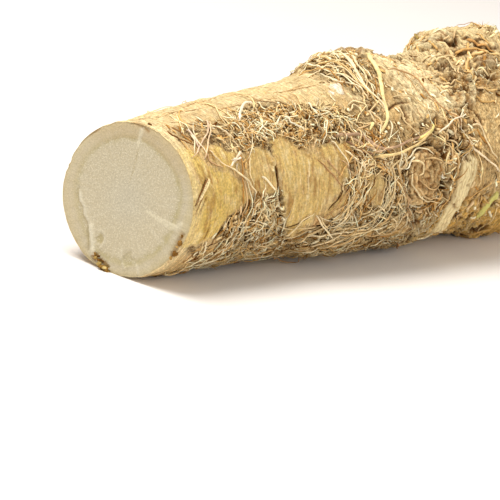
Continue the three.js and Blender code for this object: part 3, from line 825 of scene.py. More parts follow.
fxy = np.stack([FX, FY, 0 * FX], -1).reshape(-1, 3)
rim_xy = np.stack([(rim0 - rc) @ FU, (rim0 - rc) @ FV, np.zeros(COLS)], -1)
put(cut_face.data, "fpos", "FLOAT_VECTOR", np.concatenate([rim_xy, fxy, [[0, 0, 0]]]))

# ---------------------------------------------------------------- fibres
h_soft = blur(h, 1.2)
PS = P0 + N0 * h_soft[..., None]
NS = grid_normals(P0 + N0 * blur(h, 2.8)[..., None])
ring_r = np.linalg.norm(P0 - P0.mean(1, keepdims=True), axis=-1).mean(1)


def surf(w, th):
    """point and normal of the softened skin, root's frame, mm"""
    fi_ = np.interp(w, rows_w, np.arange(NR))
    i0 = np.clip(fi_.astype(int), 0, NR - 2)
    fu = (fi_ - i0)[..., None]
    fj = np.interp((th - th_wrap[0]) % (2 * np.pi) + th_wrap[0], th_wrap, np.arange(COLS + 1)) % COLS
    j0 = fj.astype(int) % COLS
    fv = (fj - np.floor(fj))[..., None]
    j1 = (j0 + 1) % COLS

    def pick(G):
        return (G[i0, j0] * (1 - fu) * (1 - fv) + G[i0 + 1, j0] * fu * (1 - fv)
                + G[i0, j1] * (1 - fu) * fv + G[i0 + 1, j1] * fu * fv)
    n = pick(NS)
    return pick(PS), n / (np.linalg.norm(n, axis=-1, keepdims=True) + 1e-9)


def tubes(paths, normals, radii, colours, sides, flat=1.0, name="fibres"):
    """one mesh of closed tubes. paths (n, m, 3) mm, normals (n, m, 3), radii (n, m),
    colours (n, m, 3); flat is the height of the section over its width"""
    n, m, _ = paths.shape
    tan = np.gradient(paths, axis=1)
    tan /= np.linalg.norm(tan, axis=-1, keepdims=True) + 1e-9
    side = np.cross(tan, normals)
    side /= np.linalg.norm(side, axis=-1, keepdims=True) + 1e-9
    up = np.cross(side, tan)
    ang = np.arange(sides) * 2 * np.pi / sides + np.pi / sides
    ring = (paths[:, 1:-1, None] + radii[:, 1:-1, None, None] * (
        np.cos(ang)[:, None] * side[:, 1:-1, None] + flat * np.sin(ang)[:, None] * up[:, 1:-1, None]))
    k = m - 2
    per = k * sides + 2
    v = np.concatenate([ring.reshape(n, k * sides, 3), paths[:, :1], paths[:, -1:]], 1).reshape(-1, 3)
    cc = np.concatenate([np.repeat(colours[:, 1:-1], sides, 1), colours[:, :1], colours[:, -1:]], 1).reshape(-1, 3)
    a = np.arange(sides)
    b = (a + 1) % sides
    r = np.arange(k - 1)[:, None] * sides
    q = np.stack([r + a, r + b, r + sides + b, r + sides + a], -1).reshape(-1, 4)
    t = np.concatenate([np.stack([b, a, np.full(sides, k * sides)], -1),
                        np.stack([(k - 1) * sides + a, (k - 1) * sides + b, np.full(sides, k * sides + 1)], -1)])
    off = (np.arange(n) * per)[:, None, None]
    rv = to_row(v)
    rr_ = 0.00006
    rv[:, 2] = np.maximum(rv[:, 2], rr_)
    ob = make_mesh(name, rv, [(q[None] + off).reshape(-1, 4), (t[None] + off).reshape(-1, 3)])
    put(ob.data, "skin", "FLOAT_COLOR", cc)
    return ob


def walk(w, th, heading, length, steps, curl, seed, lift, wave=1.0, free=0.0, w_lo=0.4):
    """paths along the skin: start, heading (0 is round the root, 90 along it), length mm.
    curl is degrees of turn per mm, lift the height mm, free how much the far end stands off"""
    g = np.random.default_rng(seed)
    n = len(w)
    ds = length / (steps - 1)
    ph = np.radians(heading)
    rate = g.normal(0, 1, n)
    bend = g.normal(0, 1, n)
    pw, pt, ls = [], [], []
    for k in range(steps):
        pw.append(w)
        pt.append(th)
        r_loc = np.interp(w, rows_w, ring_r)
        ph = ph + np.radians(curl) * ds * (0.8 * rate + 0.9 * np.sin(k * 0.9 * wave + bend * 3))
        w = np.clip(w + ds * np.sin(ph), w_lo, 208.0)
        th = th + ds * np.cos(ph) / np.maximum(r_loc, 3)
    pw, pt = np.stack(pw, 1), np.stack(pt, 1)
    u = np.linspace(0, 1, steps)[None]
    a, b = g.uniform(0, 6.28, (2, n, 1))
    rise = 0.5 + 0.5 * np.sin(u * g.uniform(3, 9, (n, 1)) + a)
    rise = 0.25 + 0.75 * rise
    ends = np.clip(u / 0.12, 0, 1) * np.where(free > 0, 1, np.clip((1 - u) / 0.12, 0, 1))
    lf = lift[:, None] * rise * ends - 0.28 * (1 - ends) + np.asarray(free).reshape(-1, 1) * u ** 1.7
    p, nn = surf(pw, pt)
    return p + nn * lf[..., None], nn, pw, pt


def taper(n, steps, r, g, end=0.25):
    u = np.linspace(0, 1, steps)[None]
    t = np.clip(np.minimum(u / 0.15, 1) * 0.5 + 0.5, 0, 1) * (1 - (1 - end) * np.clip((u - 0.55) / 0.45, 0, 1) ** 1.5)
    return r[:, None] * t * (1 + 0.18 * np.sin(u * g.uniform(6, 20, (n, 1)) + g.uniform(0, 6, (n, 1))))


FIB = np.stack([srgb(254, 239, 200), srgb(244, 216, 162), srgb(222, 180, 114), srgb(180, 132, 70), srgb(100, 60, 18), srgb(224, 191, 142)])


def fibre_colour(n, steps, g, weights, dark_root=0.35):
    idx = g.choice(len(FIB), n, p=np.array(weights) / sum(weights))
    base = FIB[idx] * g.uniform(0.84, 1.08, (n, 1))
    u = np.linspace(0, 1, steps)[None, :, None]
    shade = 1 - dark_root * np.clip(1 - u / 0.2, 0, 1) + 0.10 * np.sin(u * g.uniform(5, 25, (n, 1, 1)))
    return np.clip(base[:, None] * shade, 0, 1)


# where fibres grow: random places, kept in proportion to the hair there
area = ring_r[:, None] * np.gradient(rows_w)[:, None] * np.diff(th_wrap)[None]


def places(n, density, g, bunch=1, gather=0.0):
    """n starts on the skin, in bunches of about the given number"""
    p = (density * area).ravel()
    m = max(1, n // bunch)
    i = g.choice(p.size, m, p=p / p.sum())
    which = np.arange(n) % m
    w = (rows_w[i // COLS] + g.uniform(-0.4, 0.4, m))[which] + g.normal(0, 1, n) * gather
    th = (th_cols[i % COLS])[which] + g.uniform(-0.5, 0.5, n) * 2 * np.pi / COLS + g.normal(0, 1, n) * gather / 24.0
    return np.clip(w, 0.6, 205), th, which


def look_up(G, w, th):
    """nearest value of a grid at places on the skin"""
    i0 = np.clip(np.round(np.interp(w, rows_w, np.arange(NR))).astype(int), 0, NR - 1)
    j0 = np.round(np.interp((th - th_wrap[0]) % (2 * np.pi) + th_wrap[0], th_wrap, np.arange(COLS + 1))).astype(int) % COLS
    return G[i0, j0]


BUMP_C = (76.5, 89.1)
KNOT_C = (97.1, 84.6)


def flow(w, th, g, spread=28, which=None):
    """the way fibres run: round the root, bent round the bump and the knot"""
    n = len(w)
    deg = (np.degrees(th) + 180) % 360 - 180
    if which is None:
        which = np.arange(n)
    bunch_turn = g.normal(0, 1, n)[which]
    one = g.normal(0, 1, n)

    def around_of(mean, sd):
        return mean + sd * (0.8 * bunch_turn + 0.6 * one)
    head = around_of(0, spread)
    top = (deg > 8) & (deg < 62) & (w > 16) & (w < 76)
    head = np.where(top, around_of(20, 62), head)
    low = (deg > 96) & (w > 42) & (w < 100)
    head = np.where(low, around_of(108, 22), head)
    mid = (deg > 100) & (w < 42)
    head = np.where(mid, around_of(150, 44), head)
    for (cw, ca), r0, r1 in ((BUMP_C, 3.5, 17), (KNOT_C, 6, 14)):
        dx, dy = w - cw, (deg - ca) * DEG
        d = np.hypot(dx, dy)
        tangent = np.degrees(np.arctan2(-dy, dx))
        k = (d > r0) & (d < r1) & (deg > 58) & (deg < 104)
        head = np.where(k, tangent + 14 * one, head)
    head = np.where(w > 104, around_of(35, 60), head)
    flip = (g.random(n) < 0.5)[which]
    return head + np.where(flip, 180, 0)


pieces = []
SCALE = 1.0


def mat_layer(name, n, density, seed, length, radius, curl, lift, steps, sides, weights, spread=28, free=None, flat=1.0, dark=0.35, end=0.25,
              bunch=1, gather=0.0, cross=0.03, layer_shade=1.0):
    """a layer of n loose fibres; those whose way would cross a smooth plate are left out,
    but for a share given by cross"""
    g = np.random.default_rng(seed)
    n = int(n * SCALE)
    m = int(n * 1.9)
    w, th, which = places(m, density, g, bunch, gather)
    ln = g.uniform(*length, m) * np.clip(g.lognormal(0, 0.25, m), 0.5, 1.8)
    head = flow(w, th, g, spread, which)
    dg = (np.degrees(th) + 180) % 360 - 180
    ln *= np.where((dg > 0) & (dg < 64) & (w > 34) & (w < 100), 0.55, 1.0)     # short, crumbled rootlets on the upper side
    lf = g.uniform(*lift, m)
    fr = np.zeros(m) if free is None else g.uniform(*free, m) * (g.random(m) < 0.75)
    p, nn, pw, pt = walk(w, th, head, ln, steps, curl, seed + 1, lf, free=fr[:, None] if free is not None else np.zeros((m, 1)))
    on_plate = look_up(keep_clear, pw, pt).mean(1)
    keep = (on_plate < 0.34) | (g.random(m) < cross)
    keep &= pw.min(1) > 1.2
    keep &= (look_up(hairy, pw, pt).mean(1) > 0.10) | (g.random(m) < 0.25)
    idx = np.flatnonzero(keep)
    idx = g.permutation(idx)[:n]
    p, nn = p[idx], nn[idx]
    n = len(idx)
    r = taper(n, steps, g.uniform(*radius, n), g, end)
    mid = (np.degrees(pt[idx].mean(1)) + 180) % 360 - 180
    along = pw[idx].mean(1)
    # fibres are darkened on the underside, right of the bump, and in the low layer under the high one: painted shade
    below = step(mid, 96, 114) * step(along, 12, 24) * (1 - 0.7 * step(along, 106, 118))
    shade_tone = 1.10 - (0.10 + 0.45 * g.random(n)) * below
    shade_tone -= 0.24 * step(-np.abs(along - 86), -7, -4) * step(-np.abs(mid - 88), -30, -20)
    col = np.clip(fibre_colour(n, steps, g, weights, dark) * layer_shade * shade_tone[:, None, None], 0, 1)
    ob = tubes(p, nn, r, col, sides, flat, name)
    pieces.append(ob)
    return ob


hair_full = np.clip(hair, 0, 2) * (1 - 0.9 * holes) * (1 - 0.7 * clefts) * (1 - 0.7 * top_bark)
keep_clear = np.maximum(plate * (1 - 0.6 * step(-np.hypot(W - 75, S - 89 * DEG), -8, -7) * 0.3), knots)
flaky = np.clip(1 - plate - 0.9 * gran - 0.95 * top_bark, 0, 1) * (0.25 + 0.5 * hairy + 0.5 * crust) + 0.25 * plate_edge + 0.25 * neck + 0.02
# the low layer lies under the high one and is darkened by half for it: painted shade
mat_layer("hair_mat_low", 1500, hair_full ** 1.4, 1001, (2, 6.5), (0.10, 0.18), 14, (0.05, 0.4), 7, 3, (0.3, 1.2, 3.5, 6, 6, 0.3), bunch=6, gather=1.0, layer_shade=0.50)
mat_layer("hair_mat_high", 1500, hair_full ** 1.6, 1101, (2, 7.5), (0.09, 0.185), 14, (0.4, 1.4), 9, 3, (4, 6, 5, 3, 1, 0.5), bunch=7, gather=1.0)
mat_layer("strands", 560, hair_full ** 1.5 + 0.02 * (1 - top_bark), 1203, (8, 20), (0.13, 0.23), 3.0, (0.3, 1.3), 14, 4, (6, 5, 3, 2, 0.2, 1), spread=22, bunch=3, gather=1.4)
mat_layer("whiskers", 650, hair_full ** 1.3 + 0.01 * (1 - top_bark), 1301, (1.6, 4.5), (0.09, 0.14), 18, (0.1, 0.5), 7, 3, (6, 4, 2, 1, 1, 0), spread=70, free=(0.5, 2.2), end=0.15, bunch=4, gather=0.8)
shed = crust * (1 - 0.75 * gran) * (1 - bands) * (1 - 0.25 * neck) * (1 - 0.7 * knots) * (0.35 + 0.65 * step(gnoise(P0 / 8.0, 87), -0.2, 0.3))
mat_layer("crown_flakes", 850, shed + 0.001, 1451, (3, 8), (0.28, 0.70), 5, (0.1, 0.5), 8, 4, (3, 7, 5, 1.2, 1, 3), spread=30, free=(0.05, 0.7), flat=0.16, end=0.3, bunch=4, gather=1.5)
mat_layer("skin_flakes", 2200, flaky, 1401, (1.2, 3.6), (0.22, 0.6), 5, (0.05, 0.35), 6, 4, (5, 5, 4, 1.5, 1, 2), spread=30, free=(0.0, 0.8), flat=0.22, end=0.5)

# strands placed one by one: points in (w, degrees), radius mm, lift mm, colour, flatness
STRANDS = [
    ([(97.9, -3.9), (94.8, 7.2), (92.6, 16.5), (89.7, 25.5), (87.7, 33.6), (85.9, 41.4), (83.0, 49.2), (79.1, 54.9)], 0.82, 0.7, (242, 220, 160), 0.7),
    ([(89.1, -20.4), (89.3, -6.9), (88.3, 2.1), (85.9, 11.1), (84.8, 20.1), (84.4, 28.2), (85.2, 35.7), (86.3, 41.7)], 0.42, 0.8, (244, 226, 186), 0.8),
    ([(78.3, -5.7), (80.7, -0.9), (82.4, 6.0), (83.8, 13.5), (84.2, 21.3), (83.6, 27.9)], 0.3, 0.7, (232, 206, 156), 0.8),
    ([(82.2, -30.9), (82.8, -16.8), (84.6, -5.1), (85.0, 6.0), (84.4, 15.9), (83.6, 30.3), (84.4, 39.3)], 0.3, 1.1, (222, 190, 132), 0.9),
    ([(70.9, -5.4), (81.2, -10.8), (83.8, -2.1), (84.2, 9.0), (83.2, 20.4), (82.0, 32.1)], 0.26, 0.9, (240, 218, 172), 0.9),
    ([(74.8, -21.0), (79.5, -16.2), (81.4, -4.8), (82.8, 9.0), (82.6, 19.8)], 0.26, 0.8, (206, 168, 108), 0.9),
    ([(60.9, 48.3), (69.1, 51.0), (75.6, 57.6), (78.9, 63.6), (83.8, 64.2), (89.9, 62.1), (95.3, 60.6), (99.1, 58.5), (104.0, 53.4)], 0.5, 0.8, (178, 146, 116), 0.5),
    ([(97.1, 15.3), (105.1, 17.4), (107.9, 30.9), (110.6, 44.1), (115.1, 53.1), (116.7, 61.2)], 0.3, 1.3, (198, 158, 112), 1.0),
    ([(92.0, 32.1), (99.1, 37.8), (105.9, 46.8), (110.0, 56.1)], 0.28, 1.1, (224, 200, 152), 1.0),
    ([(117.9, 70.8), (123.1, 78.3), (130.4, 90.0)], 0.26, 1.1, (238, 216, 178), 1.0),
    ([(119.6, 67.8), (124.1, 75.9), (131.0, 86.4)], 0.28, 0.9, (206, 176, 124), 1.0),
    ([(104.7, 60.3), (109.6, 55.2), (115.1, 53.1), (120.2, 51.3)], 0.27, 1.7, (248, 232, 200), 1.0),
    ([(80.7, 66.0), (82.6, 80.4), (82.8, 92.4), (81.1, 102.6), (75.8, 110.4), (67.7, 114.3), (60.9, 116.7)], 0.3, 0.9, (228, 202, 152), 1.0),
    ([(82.8, 69.0), (85.2, 82.2), (85.7, 95.1), (83.8, 105.3), (79.1, 114.3), (71.1, 118.2), (63.6, 120.6)], 0.34, 1.0, (206, 172, 120), 1.0),
    ([(78.1, 65.1), (81.1, 77.4), (81.2, 90.3), (78.9, 100.8), (72.6, 106.5), (65.2, 108.9)], 0.24, 0.8, (236, 216, 172), 1.0),
    ([(67.3, 61.5), (68.5, 75.3), (67.7, 87.0), (64.6, 97.2), (60.3, 108.3), (54.8, 120.6)], 0.3, 0.8, (222, 196, 146), 1.0),
    ([(66.8, 57.3), (67.2, 70.5), (66.0, 81.3), (62.5, 91.2), (57.6, 102.3), (51.1, 118.5)], 0.27, 0.6, (184, 148, 100), 1.0),
    ([(69.1, 60.9), (70.9, 74.7), (70.1, 88.8), (67.3, 99.0), (63.0, 110.1), (58.5, 122.4)], 0.27, 1.0, (236, 216, 174), 1.0),
    ([(70.7, 60.0), (74.4, 70.5), (74.8, 81.0)], 0.25, 0.8, (226, 202, 154), 1.0),
    ([(60.3, 51.0), (62.6, 60.3), (64.4, 70.2), (65.2, 79.8)], 0.24, 0.5, (240, 224, 186), 1.0),
    ([(17.0, 56.7), (20.4, 64.8), (23.9, 73.5), (27.6, 81.6)], 0.26, 1.1, (236, 216, 172), 1.0),
    ([(26.8, 52.5), (25.3, 58.8), (24.5, 65.1), (26.2, 75.9)], 0.22, 0.4, (236, 214, 164), 1.0),
    ([(30.1, 68.7), (32.5, 75.3), (34.7, 81.0)], 0.34, 0.6, (244, 230, 194), 0.8),
    ([(29.0, 24.3), (33.3, 16.8), (36.6, 12.6), (40.1, 12.3)], 0.5, 1.5, (250, 238, 208), 0.9),
    ([(39.2, 19.2), (38.0, 28.8), (37.0, 39.6)], 0.32, 1.2, (248, 234, 200), 0.9),
    ([(42.3, 34.2), (45.0, 29.1), (47.0, 27.9)], 0.3, 1.3, (246, 232, 196), 1.0),
    ([(47.0, 27.9), (48.7, 36.0), (51.3, 43.2)], 0.26, 1.1, (250, 240, 212), 1.0),
    ([(61.9, 36.0), (59.5, 45.0), (56.8, 53.7)], 0.26, 1.2, (244, 230, 194), 1.0),
    ([(58.9, 20.4), (59.5, 26.7), (59.7, 33.6)], 0.28, 1.0, (250, 240, 212), 1.0),
    ([(44.8, 119.1), (48.2, 106.2), (53.4, 100.5)], 0.27, 0.9, (232, 210, 164), 1.0),
    ([(50.5, 129.3), (54.8, 114.9), (60.3, 108.3), (64.4, 98.4)], 0.28, 1.0, (218, 190, 140), 1.0),
    ([(68.3, 122.4), (75.0, 117.6), (84.2, 113.1), (92.4, 102.6)], 0.32, 1.0, (226, 200, 150), 1.0),
    ([(63.0, 130.5), (73.4, 124.8), (85.4, 122.1), (95.1, 121.5)], 0.34, 1.0, (206, 172, 120), 1.0),
    ([(54.4, 102.0), (57.2, 108.3), (63.0, 118.8)], 0.22, 1.0, (228, 204, 156), 1.0),
    ([(8.0, 46.5), (11.6, 36.0), (15.7, 27.6), (19.2, 16.5)], 0.25, 1.0, (230, 200, 160), 1.0),
    ([(8.8, 24.3), (9.2, 35.1), (9.4, 44.7)], 0.22, 0.7, (240, 224, 190), 1.0),
    ([(86.5, 66.3), (84.8, 75.3), (86.1, 85.2), (90.1, 94.8)], 0.3, 0.8, (242, 226, 188), 0.8),
    ([(109.6, 71.4), (111.2, 81.0), (111.4, 91.5), (110.0, 101.7)], 0.34, 0.8, (206, 172, 120), 0.8),
    ([(88.1, 73.2), (91.4, 69.0), (95.9, 69.0), (100.0, 72.9)], 0.3, 1.0, (244, 228, 190), 0.9),
    ([(92.0, 90.3), (97.7, 97.8), (104.7, 99.9), (108.7, 96.0)], 0.32, 0.7, (214, 182, 132), 0.8),
    ([(94.6, 74.7), (99.8, 74.7), (104.3, 79.5), (105.5, 86.7), (103.4, 92.4), (98.7, 93.0), (94.6, 88.2), (93.4, 81.9)], 0.3, 0.6, (210, 176, 124), 0.8),
    ([(90.8, 78.9), (90.1, 86.1), (93.0, 94.2), (99.3, 100.8), (106.5, 102.9)], 0.28, 0.8, (234, 212, 166), 0.9),
    ([(86.3, 80.1), (87.5, 91.8), (90.4, 102.3), (94.4, 112.5)], 0.28, 1.0, (190, 154, 112), 1.0),
    ([(84.6, 96.0), (89.5, 105.3), (99.1, 120.0)], 0.28, 0.9, (230, 208, 162), 1.0),
    ([(84.4, 65.7), (81.6, 73.8), (78.9, 78.3)], 0.24, 0.8, (230, 208, 162), 1.0),
    ([(121.6, 0.0), (130.8, -3.3), (139.2, -5.7), (142.9, 3.3)], 0.5, 0.6, (220, 194, 146), 0.6),
    ([(146.8, 0.3), (149.4, 7.8), (153.1, 14.7)], 0.55, 0.7, (204, 156, 96), 0.6),
    ([(142.3, -2.1), (146.0, 4.8), (149.2, 14.1)], 0.5, 0.7, (210, 166, 104), 0.6),
    ([(86.5, 78.9), (89.1, 75.3), (92.8, 75.0), (94.8, 78.0), (94.8, 81.6), (93.0, 84.3)], 0.42, 0.9, (240, 216, 166), 0.8),
    ([(86.5, 66.9), (87.7, 71.7), (88.7, 76.5)], 0.42, 0.8, (250, 236, 196), 0.8),
    ([(92.0, 72.3), (89.7, 75.3), (87.3, 78.6)], 0.3, 1.2, (252, 242, 212), 1.0),
    ([(65.0, 48.0), (68.7, 53.1), (73.8, 61.2), (80.7, 66.0)], 0.42, 1.0, (206, 176, 140), 0.5),
    ([(72.6, 63.3), (79.5, 68.1), (87.1, 67.8), (94.9, 63.6), (102.0, 55.8)], 0.5, 1.1, (234, 206, 146), 0.5),
    ([(65.4, 53.4), (70.5, 61.5), (76.4, 67.2)], 0.3, 0.8, (150, 114, 88), 0.6),
    ([(72.0, 52.8), (75.8, 59.7), (79.7, 63.6), (84.4, 63.9)], 0.6, 0.7, (196, 164, 132), 0.6),
    ([(95.1, 61.8), (99.5, 58.8), (103.4, 54.0)], 0.62, 1.0, (232, 212, 138), 0.6),
    ([(78.1, 45.9), (76.4, 50.4)], 0.5, 0.9, (244, 226, 160), 0.8),
    ([(91.4, 38.4), (91.2, 49.2), (92.6, 54.3), (95.9, 60.6)], 0.3, 1.0, (228, 200, 150), 1.0),
    ([(86.7, 31.5), (80.5, 37.8), (81.2, 45.6), (80.7, 53.4)], 0.3, 1.0, (228, 200, 150), 1.0),
    ([(120.6, 47.1), (116.5, 53.7), (115.9, 62.1), (117.1, 61.2)], 0.25, 0.8, (240, 224, 190), 1.0),
    ([(109.4, 58.5), (110.4, 65.4), (111.6, 71.7), (112.6, 77.4)], 0.28, 1.2, (226, 200, 154), 1.0),
    ([(106.5, 56.7), (108.1, 65.4), (108.7, 72.3), (108.7, 78.6)], 0.26, 1.0, (216, 186, 138), 1.0),
    ([(120.8, 58.5), (124.3, 60.0), (124.9, 67.2), (126.3, 75.3), (129.6, 82.2)], 0.3, 1.0, (234, 212, 168), 1.0),
    ([(116.1, 66.6), (119.2, 73.2), (124.1, 80.4), (128.2, 85.8), (131.6, 90.9)], 0.3, 1.2, (244, 224, 188), 1.0),
    ([(64.8, 59.4), (66.8, 65.7), (70.1, 73.2), (73.2, 77.4)], 0.26, 1.0, (240, 222, 184), 1.0),
    ([(62.1, 65.7), (65.4, 74.4), (66.0, 80.1)], 0.2, 0.5, (200, 166, 124), 1.0),
    ([(56.8, 64.5), (59.7, 71.4), (62.5, 77.1)], 0.2, 0.4, (196, 160, 118), 1.0),
    ([(66.4, 57.3), (70.3, 62.7), (72.6, 72.0), (74.0, 75.6)], 0.24, 1.0, (236, 214, 170), 1.0),
    ([(73.2, 57.0), (76.5, 64.8), (80.7, 76.2), (82.0, 87.9)], 0.24, 0.9, (226, 198, 148), 1.0),
    ([(70.5, 68.1), (67.9, 77.7), (69.1, 84.6)], 0.22, 0.9, (232, 212, 172), 1.0),
    ([(75.0, 61.5), (78.5, 70.5), (80.9, 82.5), (81.1, 95.4), (79.1, 105.0)], 0.26, 1.1, (238, 218, 176), 1.0),
    ([(71.7, 75.0), (69.9, 82.2), (65.6, 92.4), (60.7, 99.6)], 0.28, 0.9, (206, 176, 130), 1.0),
    ([(70.3, 91.5), (67.5, 100.5), (62.3, 106.2)], 0.28, 0.9, (226, 202, 158), 1.0),
    ([(52.3, 122.4), (60.9, 118.5), (70.5, 116.4), (79.3, 115.2)], 0.3, 1.1, (238, 218, 176), 1.0),
    ([(57.8, 131.7), (64.2, 122.7), (69.3, 112.8), (71.5, 104.7)], 0.3, 1.0, (232, 208, 162), 1.0),
    ([(57.8, 141.6), (62.1, 133.2), (67.0, 125.4), (71.1, 118.2)], 0.28, 0.9, (222, 196, 148), 1.0),
    ([(53.6, 102.0), (57.9, 111.6), (67.3, 125.4)], 0.28, 1.2, (240, 222, 182), 1.0),
    ([(79.7, 145.2), (74.2, 124.8), (76.5, 114.3)], 0.28, 1.1, (232, 208, 160), 1.0),
    ([(76.9, 98.4), (83.8, 106.8), (88.7, 114.3), (90.6, 123.9)], 0.26, 1.1, (232, 210, 166), 1.0),
    ([(50.1, 147.0), (58.3, 156.0), (61.9, 154.5), (60.3, 143.7)], 0.22, 2.0, (176, 136, 92), 1.0),
    ([(8.8, 19.2), (8.4, 30.0), (8.0, 39.0)], 0.24, 0.9, (240, 214, 190), 1.0),
    ([(17.6, 22.5), (21.3, 26.1), (26.4, 27.0)], 0.24, 1.0, (232, 208, 160), 1.0),
    ([(19.2, 15.3), (14.7, 26.7), (9.2, 35.1), (3.1, 43.8)], 0.26, 1.0, (226, 196, 162), 1.0),
    ([(16.4, 32.7), (19.0, 40.2), (20.4, 46.8)], 0.22, 0.8, (226, 200, 152), 1.0),
    ([(20.9, 28.8), (21.9, 37.5), (22.7, 46.2)], 0.22, 0.9, (236, 214, 172), 1.0),
    ([(9.4, 41.4), (10.2, 50.1), (14.3, 56.4)], 0.2, 0.5, (206, 168, 124), 1.0),
    ([(22.9, 47.7), (20.8, 50.7), (19.2, 54.6)], 0.5, 0.8, (226, 208, 176), 0.3),
    ([(19.8, 51.3), (18.2, 54.3), (17.0, 56.7)], 0.45, 0.6, (236, 222, 196), 0.3),
    ([(20.4, 55.2), (19.4, 58.5), (19.8, 61.8)], 0.35, 0.5, (210, 190, 156), 0.3),
    ([(22.3, 52.2), (20.4, 53.1), (18.2, 52.2)], 0.3, 0.9, (240, 226, 202), 0.3),
    ([(11.2, 39.9), (11.7, 47.1), (15.5, 55.2), (19.2, 60.0)], 0.2, 0.6, (238, 214, 170), 1.0),
    ([(73.0, 29.7), (76.5, 27.9), (78.9, 32.4), (78.5, 37.2)], 0.28, 1.0, (240, 220, 172), 1.0),
    ([(72.2, 34.2), (74.8, 30.6), (76.0, 33.6), (76.2, 39.3)], 0.24, 1.0, (234, 212, 168), 1.0),
    ([(78.3, 36.9), (79.1, 44.1), (81.1, 49.8)], 0.24, 1.1, (234, 212, 168), 1.0),
    ([(78.3, -9.3), (77.7, 7.2), (81.8, 17.4), (82.8, 25.5)], 0.32, 1.0, (244, 226, 186), 0.9),
    ([(89.9, -10.5), (87.1, 5.7), (85.2, 15.3), (84.6, 26.7), (85.6, 42.9)], 0.42, 1.1, (246, 230, 190), 0.8),
    ([(90.4, -4.2), (88.3, 8.7), (86.7, 18.9), (85.2, 28.5)], 0.32, 1.4, (240, 220, 176), 0.9),
    ([(86.1, -22.2), (85.4, -11.1), (84.2, 3.0)], 0.32, 1.0, (226, 196, 142), 0.9),
    ([(83.2, -30.9), (81.6, -13.2), (81.2, 0.6), (83.4, 15.0), (83.8, 20.1)], 0.3, 1.2, (246, 230, 190), 0.9),
    ([(95.9, 29.4), (100.2, 34.5), (105.7, 42.6)], 0.2, 0.5, (226, 198, 150), 1.0),
    ([(92.8, 24.0), (94.6, 30.6), (98.5, 34.5)], 0.2, 0.5, (240, 220, 176), 1.0),
    ([(104.9, 12.3), (104.3, 22.8), (105.1, 31.8)], 0.2, 0.5, (214, 180, 130), 1.0),
    ([(120.0, -5.7), (114.3, 12.6), (112.8, 27.6)], 0.2, 0.5, (226, 198, 150), 1.0),
    ([(144.9, 6.9), (142.7, 6.9), (133.5, 22.8), (132.9, 30.3)], 0.55, 0.7, (226, 190, 130), 0.7),
    ([(145.1, 6.6), (147.6, 10.2), (150.9, 14.4), (152.9, 17.4)], 0.6, 0.9, (232, 200, 140), 0.7),
    ([(134.3, 34.2), (136.6, 38.1), (141.5, 37.2)], 0.4, 0.7, (214, 178, 120), 0.7),
    ([(129.8, 39.9), (132.0, 45.0), (137.4, 45.3)], 0.4, 0.7, (206, 166, 104), 0.7),
    ([(122.6, 7.2), (129.4, 4.2), (131.8, 10.5), (129.8, 19.8)], 0.4, 0.8, (232, 206, 156), 0.7),
    ([(116.3, 14.7), (115.9, 23.1), (120.2, 26.7), (127.1, 25.2)], 0.4, 0.7, (226, 196, 146), 0.7),
    ([(142.3, 2.4), (132.0, 15.9), (128.0, 25.5)], 0.4, 0.6, (222, 190, 140), 0.7),
    ([(120.2, 93.3), (119.6, 97.2)], 0.62, 0.7, (232, 204, 156), 0.7),
    ([(124.1, 108.0), (122.6, 112.2)], 0.66, 0.7, (236, 206, 158), 0.7),
    ([(123.3, 118.5), (123.7, 124.8)], 0.5, 0.6, (226, 196, 146), 0.7),
    # the next four: thin dark threads laid in cracks, as painted shade in them
    ([(62.8, 83.4), (60.9, 91.2), (57.6, 99.9)], 0.16, 0.1, (84, 56, 30), 1.0),
    ([(36.6, 61.2), (37.0, 66.6), (37.4, 73.8), (37.2, 81.0), (38.6, 92.4)], 0.14, 0.1, (112, 74, 36), 1.0),
    ([(6.9, 59.1), (4.5, 65.7), (1.8, 73.5), (0.2, 79.5)], 0.16, 0.1, (138, 92, 48), 1.0),
    ([(3.7, 70.5), (2.2, 77.1), (0.8, 83.4)], 0.13, 0.1, (150, 104, 58), 1.0),
    ([(53.3, 62.4), (57.0, 72.3), (61.7, 82.5), (65.4, 89.7)], 0.15, 0.3, (176, 130, 88), 1.0),
    # a dark thread in the crevice at the bump's right edge: painted shade
    ([(79.3, 77.1), (81.1, 85.2), (81.4, 92.7), (81.2, 99.9)], 0.22, 0.1, (66, 44, 26), 1.0),
    ([(42.1, 111.3), (48.6, 107.7), (53.4, 100.5)], 0.15, 0.1, (92, 62, 34), 1.0),
    ([(2.5, 15.0), (3.7, 21.9), (5.5, 29.1), (7.8, 35.4)], 0.2, 0.2, (140, 96, 54), 1.0),
    ([(6.1, 11.4), (6.7, 21.3), (8.6, 29.4), (9.4, 38.1)], 0.16, 0.3, (170, 124, 76), 1.0),
    ([(8.0, 4.8), (12.9, 14.4), (15.7, 22.2)], 0.16, 0.3, (230, 206, 160), 1.0),
    ([(38.6, -10.2), (43.3, -6.6), (45.6, 9.3), (52.1, 16.8)], 0.13, 0.15, (188, 151, 105), 1.0),
    ([(19.4, -9.3), (29.2, -12.6), (38.0, -11.7)], 0.12, 0.15, (199, 160, 111), 1.0),
    ([(36.8, 8.4), (46.2, 7.8), (52.5, 10.8)], 0.12, 0.15, (205, 166, 116), 1.0),
    ([(10.6, -7.8), (16.8, -3.6), (24.7, 0.9)], 0.11, 0.15, (203, 164, 113), 1.0),
    ([(57.4, 3.9), (65.6, 4.5), (72.6, 5.1)], 0.13, 0.2, (199, 160, 111), 1.0),
    ([(24.7, 8.7), (33.1, 8.7), (40.5, 9.6)], 0.12, 0.15, (203, 164, 115), 1.0),
    ([(51.9, 2.4), (60.1, 2.7), (67.9, -0.3)], 0.12, 0.2, (214, 177, 124), 1.0),
